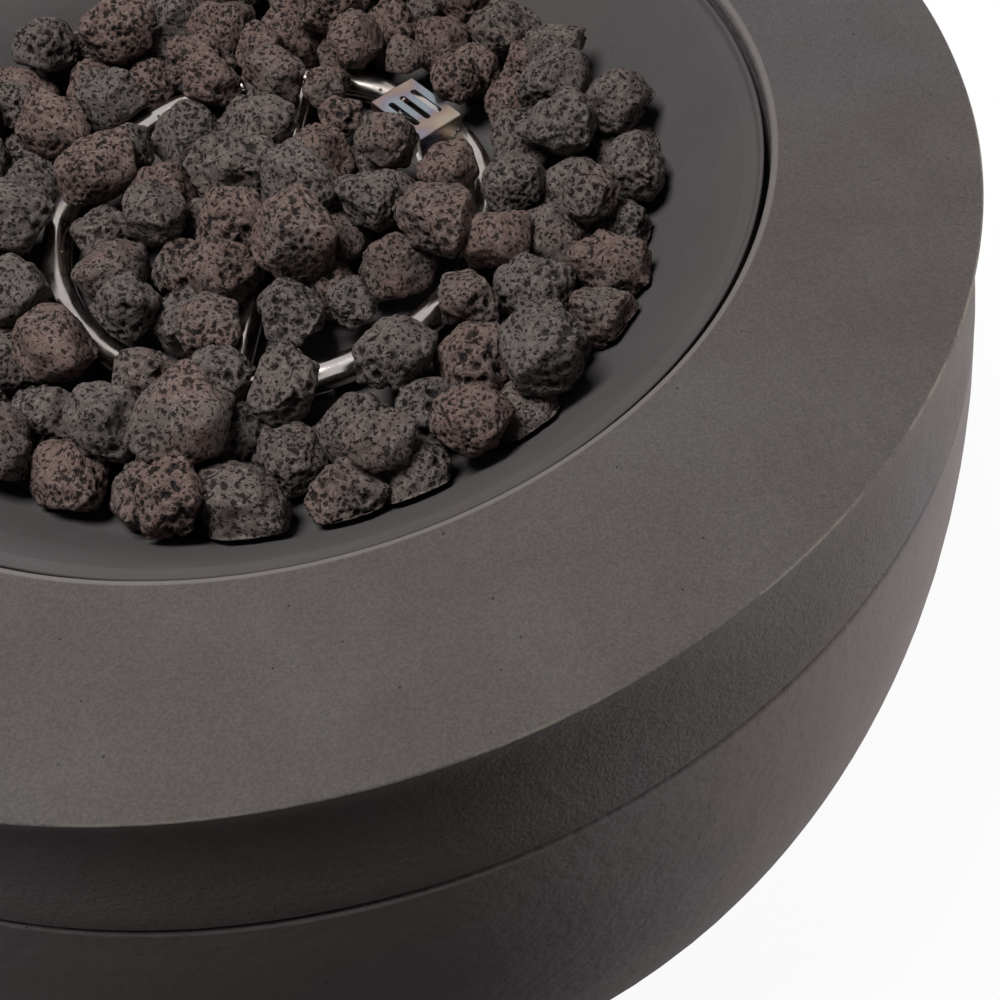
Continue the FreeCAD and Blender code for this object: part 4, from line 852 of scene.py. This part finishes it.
coil_spring("knob_coil", foot=Vector((valve_x, niche_back_y + 0.0021, niche_z)), radius=0.0082,
            wire=0.001, length=0.0138, turns=4,
            node_name="knob_spring")
coil_spring("igniter_coil", foot=Vector((igniter_x, niche_back_y - 0.0144, niche_z)),
            radius=0.00445, wire=0.0008, length=0.0263, turns=6,
            node_name="igniter_spring")

# %% [markdown]
# Lava rock is crushed, so each piece is chunky, with flat broken faces. The solids
# already lie where a rock comes to rest, so a rock starts from its own solid,
# swollen so that it leans on its neighbours. First the solids of a node are told
# apart, by walking from face to face. Where a rock would sink into the dish, its
# underside is later lifted to the height of the cone.

# %% Rocks told apart
def centre_of(face):
    return tuple(face.calc_center_median())


def loose_solids(bm):
    """The separate rocks of a node, each as a list of its faces, always in one order."""
    waiting = set(bm.faces)
    found = []
    while waiting:
        reached = [waiting.pop()]
        for face in reached:
            near = {f for e in face.edges for f in e.link_faces} & waiting
            waiting -= near
            reached += near
        found.append(sorted(reached, key=centre_of))
    return sorted(found, key=lambda faces: centre_of(faces[0]))


def dish_height(x, y):
    return dish_floor_z + max(0.0, math.hypot(x, y) - cone_foot_r + cone_round) * cone_slope


print("dish height at its edge", round(dish_height(opening_r, 0), 3))

# %% [markdown]
# Sculpting each rock by hand would take days. Instead a rock is cut into a fine
# grid, and vertices beyond a few planes round its middle are pushed back onto them,
# which makes the broken faces. Relaxing softens the edges a little. Rocks beside
# the hood aren't swollen, so that its slots stay clear.

# %% Broken forms
rock_cuts = 15
relax_rounds = 4
broken_faces = 9
face_depths = (0.72, 1.02)
push_back = 0.94
swell_range = (1.14, 1.3)
beside_hood = 0.058
hood_middle = Vector((pilot_r * math.cos(pilot_angle), pilot_r * math.sin(pilot_angle)))


def broken_rock(faces, chance):
    """One rock from the faces of its solid, with flat broken faces at random tilts."""
    rock = bmesh.new()
    corners = {v: rock.verts.new(v.co) for f in faces for v in f.verts}
    for f in faces:
        rock.faces.new([corners[v] for v in f.verts])
    middle = sum((v.co for v in rock.verts), Vector()) / len(rock.verts)
    reach = sum((v.co - middle).length for v in rock.verts) / len(rock.verts)
    swell = chance.uniform(*swell_range)
    if (middle.xy - hood_middle).length < beside_hood:
        swell = 1.0
    bmesh.ops.scale(rock, verts=rock.verts[:], vec=(swell, swell, swell),
                    space=Matrix.Translation(-middle))
    bmesh.ops.subdivide_edges(rock, edges=rock.edges[:], cuts=rock_cuts, use_grid_fill=True)
    for _ in range(broken_faces):
        out = Vector([chance.gauss(0, 1) for _ in range(3)]).normalized()
        depth = reach * chance.uniform(*face_depths)
        for v in rock.verts:
            over = (v.co - middle).dot(out) - depth
            if over > 0:
                v.co -= out * over * push_back
    for _ in range(relax_rounds):
        bmesh.ops.smooth_vert(rock, verts=rock.verts[:], factor=0.5, use_axis_x=True, use_axis_y=True,
                              use_axis_z=True)
    return rock


print("grid faces on a rock", 20 * (rock_cuts + 1) ** 2)

# %% [markdown]
# Gas bubbles left pores when the stone froze. They could be bump alone, but the
# outline of a rock shows them, so they are cut into the mesh. Two sizes of Voronoi
# cells give the depth, and a slow noise leaves some places frothy and others dense.

# %% Pores
wide_pore = 0.46
narrow_pore = 0.42
pore_wall = 0.2
narrow_share = 0.65


def within(value):
    return max(0.0, min(1.0, value))


def pore_depth(place, coarse):
    """How deep a place lies in a pore, from 0 on a wall to 1."""
    wide = noise.voronoi(place * coarse)[0][0]
    narrow = noise.voronoi(place * coarse * 1.8 + Vector((3.1, 1.7, 0.4)))[0][0]
    deep = within((wide_pore - wide) / pore_wall)
    shallow = within((narrow_pore - narrow) / pore_wall) * narrow_share
    frothy = 0.35 + 0.65 * within(0.55 + 2.4 * noise.noise(place * 30.0))
    return max(deep, shallow) * frothy


print("pore at the middle", round(pore_depth(Vector((0, 0, dish_floor_z)), 205.0), 2))

# %% [markdown]
# Noise swells lumps first, then the pores sink along the normals, wide on some
# rocks and fine on others. Two values are stored on the vertices for the finish to
# read: how deep the pore is, and a tint that is the same all over one rock. Each
# node draws its random numbers from its own name, so every run gives the same rocks.

# %% Lava rocks
lump_height = 0.002
pore_height = 0.0024
rock_skin = 0.0008
pore_sizes = (150.0, 205.0, 240.0, 290.0)


def lava_rocks(node_name, chance):
    source = bmesh.new()
    source.from_mesh(nodes[node_name].data)
    bmesh.ops.remove_doubles(source, verts=source.verts, dist=1e-5)
    bm = bmesh.new()
    rocks = loose_solids(source)
    for faces in rocks:
        rock = broken_rock(faces, chance)
        pore_layer = rock.verts.layers.float.new("pore")
        tint_layer = rock.verts.layers.float.new("tint")
        tint = chance.random()
        coarse = chance.choice(pore_sizes)
        rock.normal_update()
        moves = []
        for v in rock.verts:
            lump = lump_height * (noise.noise(v.co * 55.0) + 0.6 * noise.noise(v.co * 140.0))
            pore = pore_depth(v.co, coarse)
            v[pore_layer] = pore
            v[tint_layer] = tint
            moves.append(v.normal * (rock_skin + lump - pore_height * (200.0 / coarse) * pore))
        for v, move in zip(rock.verts, moves):
            v.co += move
            v.co.z = max(v.co.z, dish_height(v.co.x, v.co.y))
        join_in(bm, rock)
    source.free()
    print(node_name, "rocks", len(rocks))
    as_piece(node_name.replace("lava_rocks", "porous_rocks"), bm, "lava_rock", node_name, sharp=180)


for name in sorted(n for n in nodes if n.startswith("lava_rocks")):
    lava_rocks(name, random.Random(name))

# %% [markdown]
# The table stands on a pale floor that runs out of sight. A floor lit only by the
# lamps would turn grey far away, so it adds plain white where the camera sees it,
# straight or in a gloss. It keeps a share of its own shading, so the table still
# stands on its shadow, and it is darker for all other rays, so that it throws
# little light up at the bowl.

# %% Finish of the floor
white_share = 0.92
floor_grey = (0.14, 0.14, 0.14)
floor_pale = (0.8, 0.8, 0.8)


def seen_rays(tree):
    """Rays of the camera, and the same with rays off a gloss and through glass."""
    path = add(tree, "ShaderNodeLightPath")
    straight = path.outputs["Is Camera Ray"]
    turned_away = maths(tree, "MAXIMUM", path.outputs["Is Glossy Ray"],
                        path.outputs["Is Transmission Ray"])
    return straight, maths(tree, "MAXIMUM", straight, turned_away)


def floor_finish():
    material, tree, shader = new_material("pale_floor", 0.8)
    straight, seen = seen_rays(tree)
    tree.links.new(blend(tree, straight, floor_grey, floor_pale), shader.inputs["Base Color"])
    white = add(tree, "ShaderNodeEmission", Color=(1, 1, 1, 1), Strength=1.0)
    mix = add(tree, "ShaderNodeMixShader")
    tree.links.new(maths(tree, "MULTIPLY", seen, white_share), mix.inputs[0])
    tree.links.new(shader.outputs[0], mix.inputs[1])
    tree.links.new(white.outputs[0], mix.inputs[2])
    tree.links.new(mix.outputs[0], tree.nodes["Material Output"].inputs[0])
    return material


print("white share of the floor", white_share)

# %% [markdown]
# The floor itself is one wide grid, half a millimetre under the rubber feet, so
# that no two faces lie in one plane. It isn't a piece of the table.

# %% Floor
floor_size = 12.0
floor_gap = 0.0005
ground = bmesh.new()
bmesh.ops.create_grid(ground, x_segments=2, y_segments=2, size=floor_size)
floor_mesh = bpy.data.meshes.new("floor")
ground.to_mesh(floor_mesh)
ground.free()
floor_mesh.materials.append(floor_finish())
floor = bpy.data.objects.new("floor", floor_mesh)
floor.location.z = -floor_gap
bpy.context.collection.objects.link(floor)
print("floor", 2 * floor_size, "m wide")

# %% [markdown]
# Three soft lamps light the table: a wide one high at the left, a low one at the
# right, and a weak low one behind at the left that draws the far edge. Disks give
# softer shadows than points do. The world is faint, and white only where it is
# seen, so that it fills the shadows without washing them out.

# %% Light
world_light = 0.025


def soft_lamp(name, place, target, size, power):
    data = bpy.data.lights.new(name, "AREA")
    data.shape = "DISK"
    data.size = size
    data.energy = power
    lamp = bpy.data.objects.new(name, data)
    bpy.context.collection.objects.link(lamp)
    lamp.location = place
    lamp.rotation_euler = (Vector(target) - Vector(place)).to_track_quat("-Z", "Y").to_euler()
    return lamp


lamps = [
    soft_lamp("overhead_lamp", place=(-0.5, -0.15, 2.4), target=(0, 0, 0.4), size=0.9, power=51),
    soft_lamp("right_lamp", place=(2.4, -0.32, 0.55), target=(0, 0, 0.35), size=0.7, power=90),
    soft_lamp("far_lamp", place=(-2.0, 1.8, 0.35), target=(0, 0, 0.3), size=1.0, power=24),
]
world = bpy.data.worlds.new("studio")
bpy.context.scene.world = world
world.use_nodes = True
air = world.node_tree
air.nodes["Background"].inputs["Color"].default_value = (1, 1, 1, 1)
in_sight = seen_rays(air)[1]
air.links.new(steps(air, in_sight, 0.0, 1.0, world_light, 1.0),
              air.nodes["Background"].inputs["Strength"])
bpy.context.scene.view_settings.view_transform = "Standard"
print("lamps", len(lamps), "power", sum(lamp.data.energy for lamp in lamps))
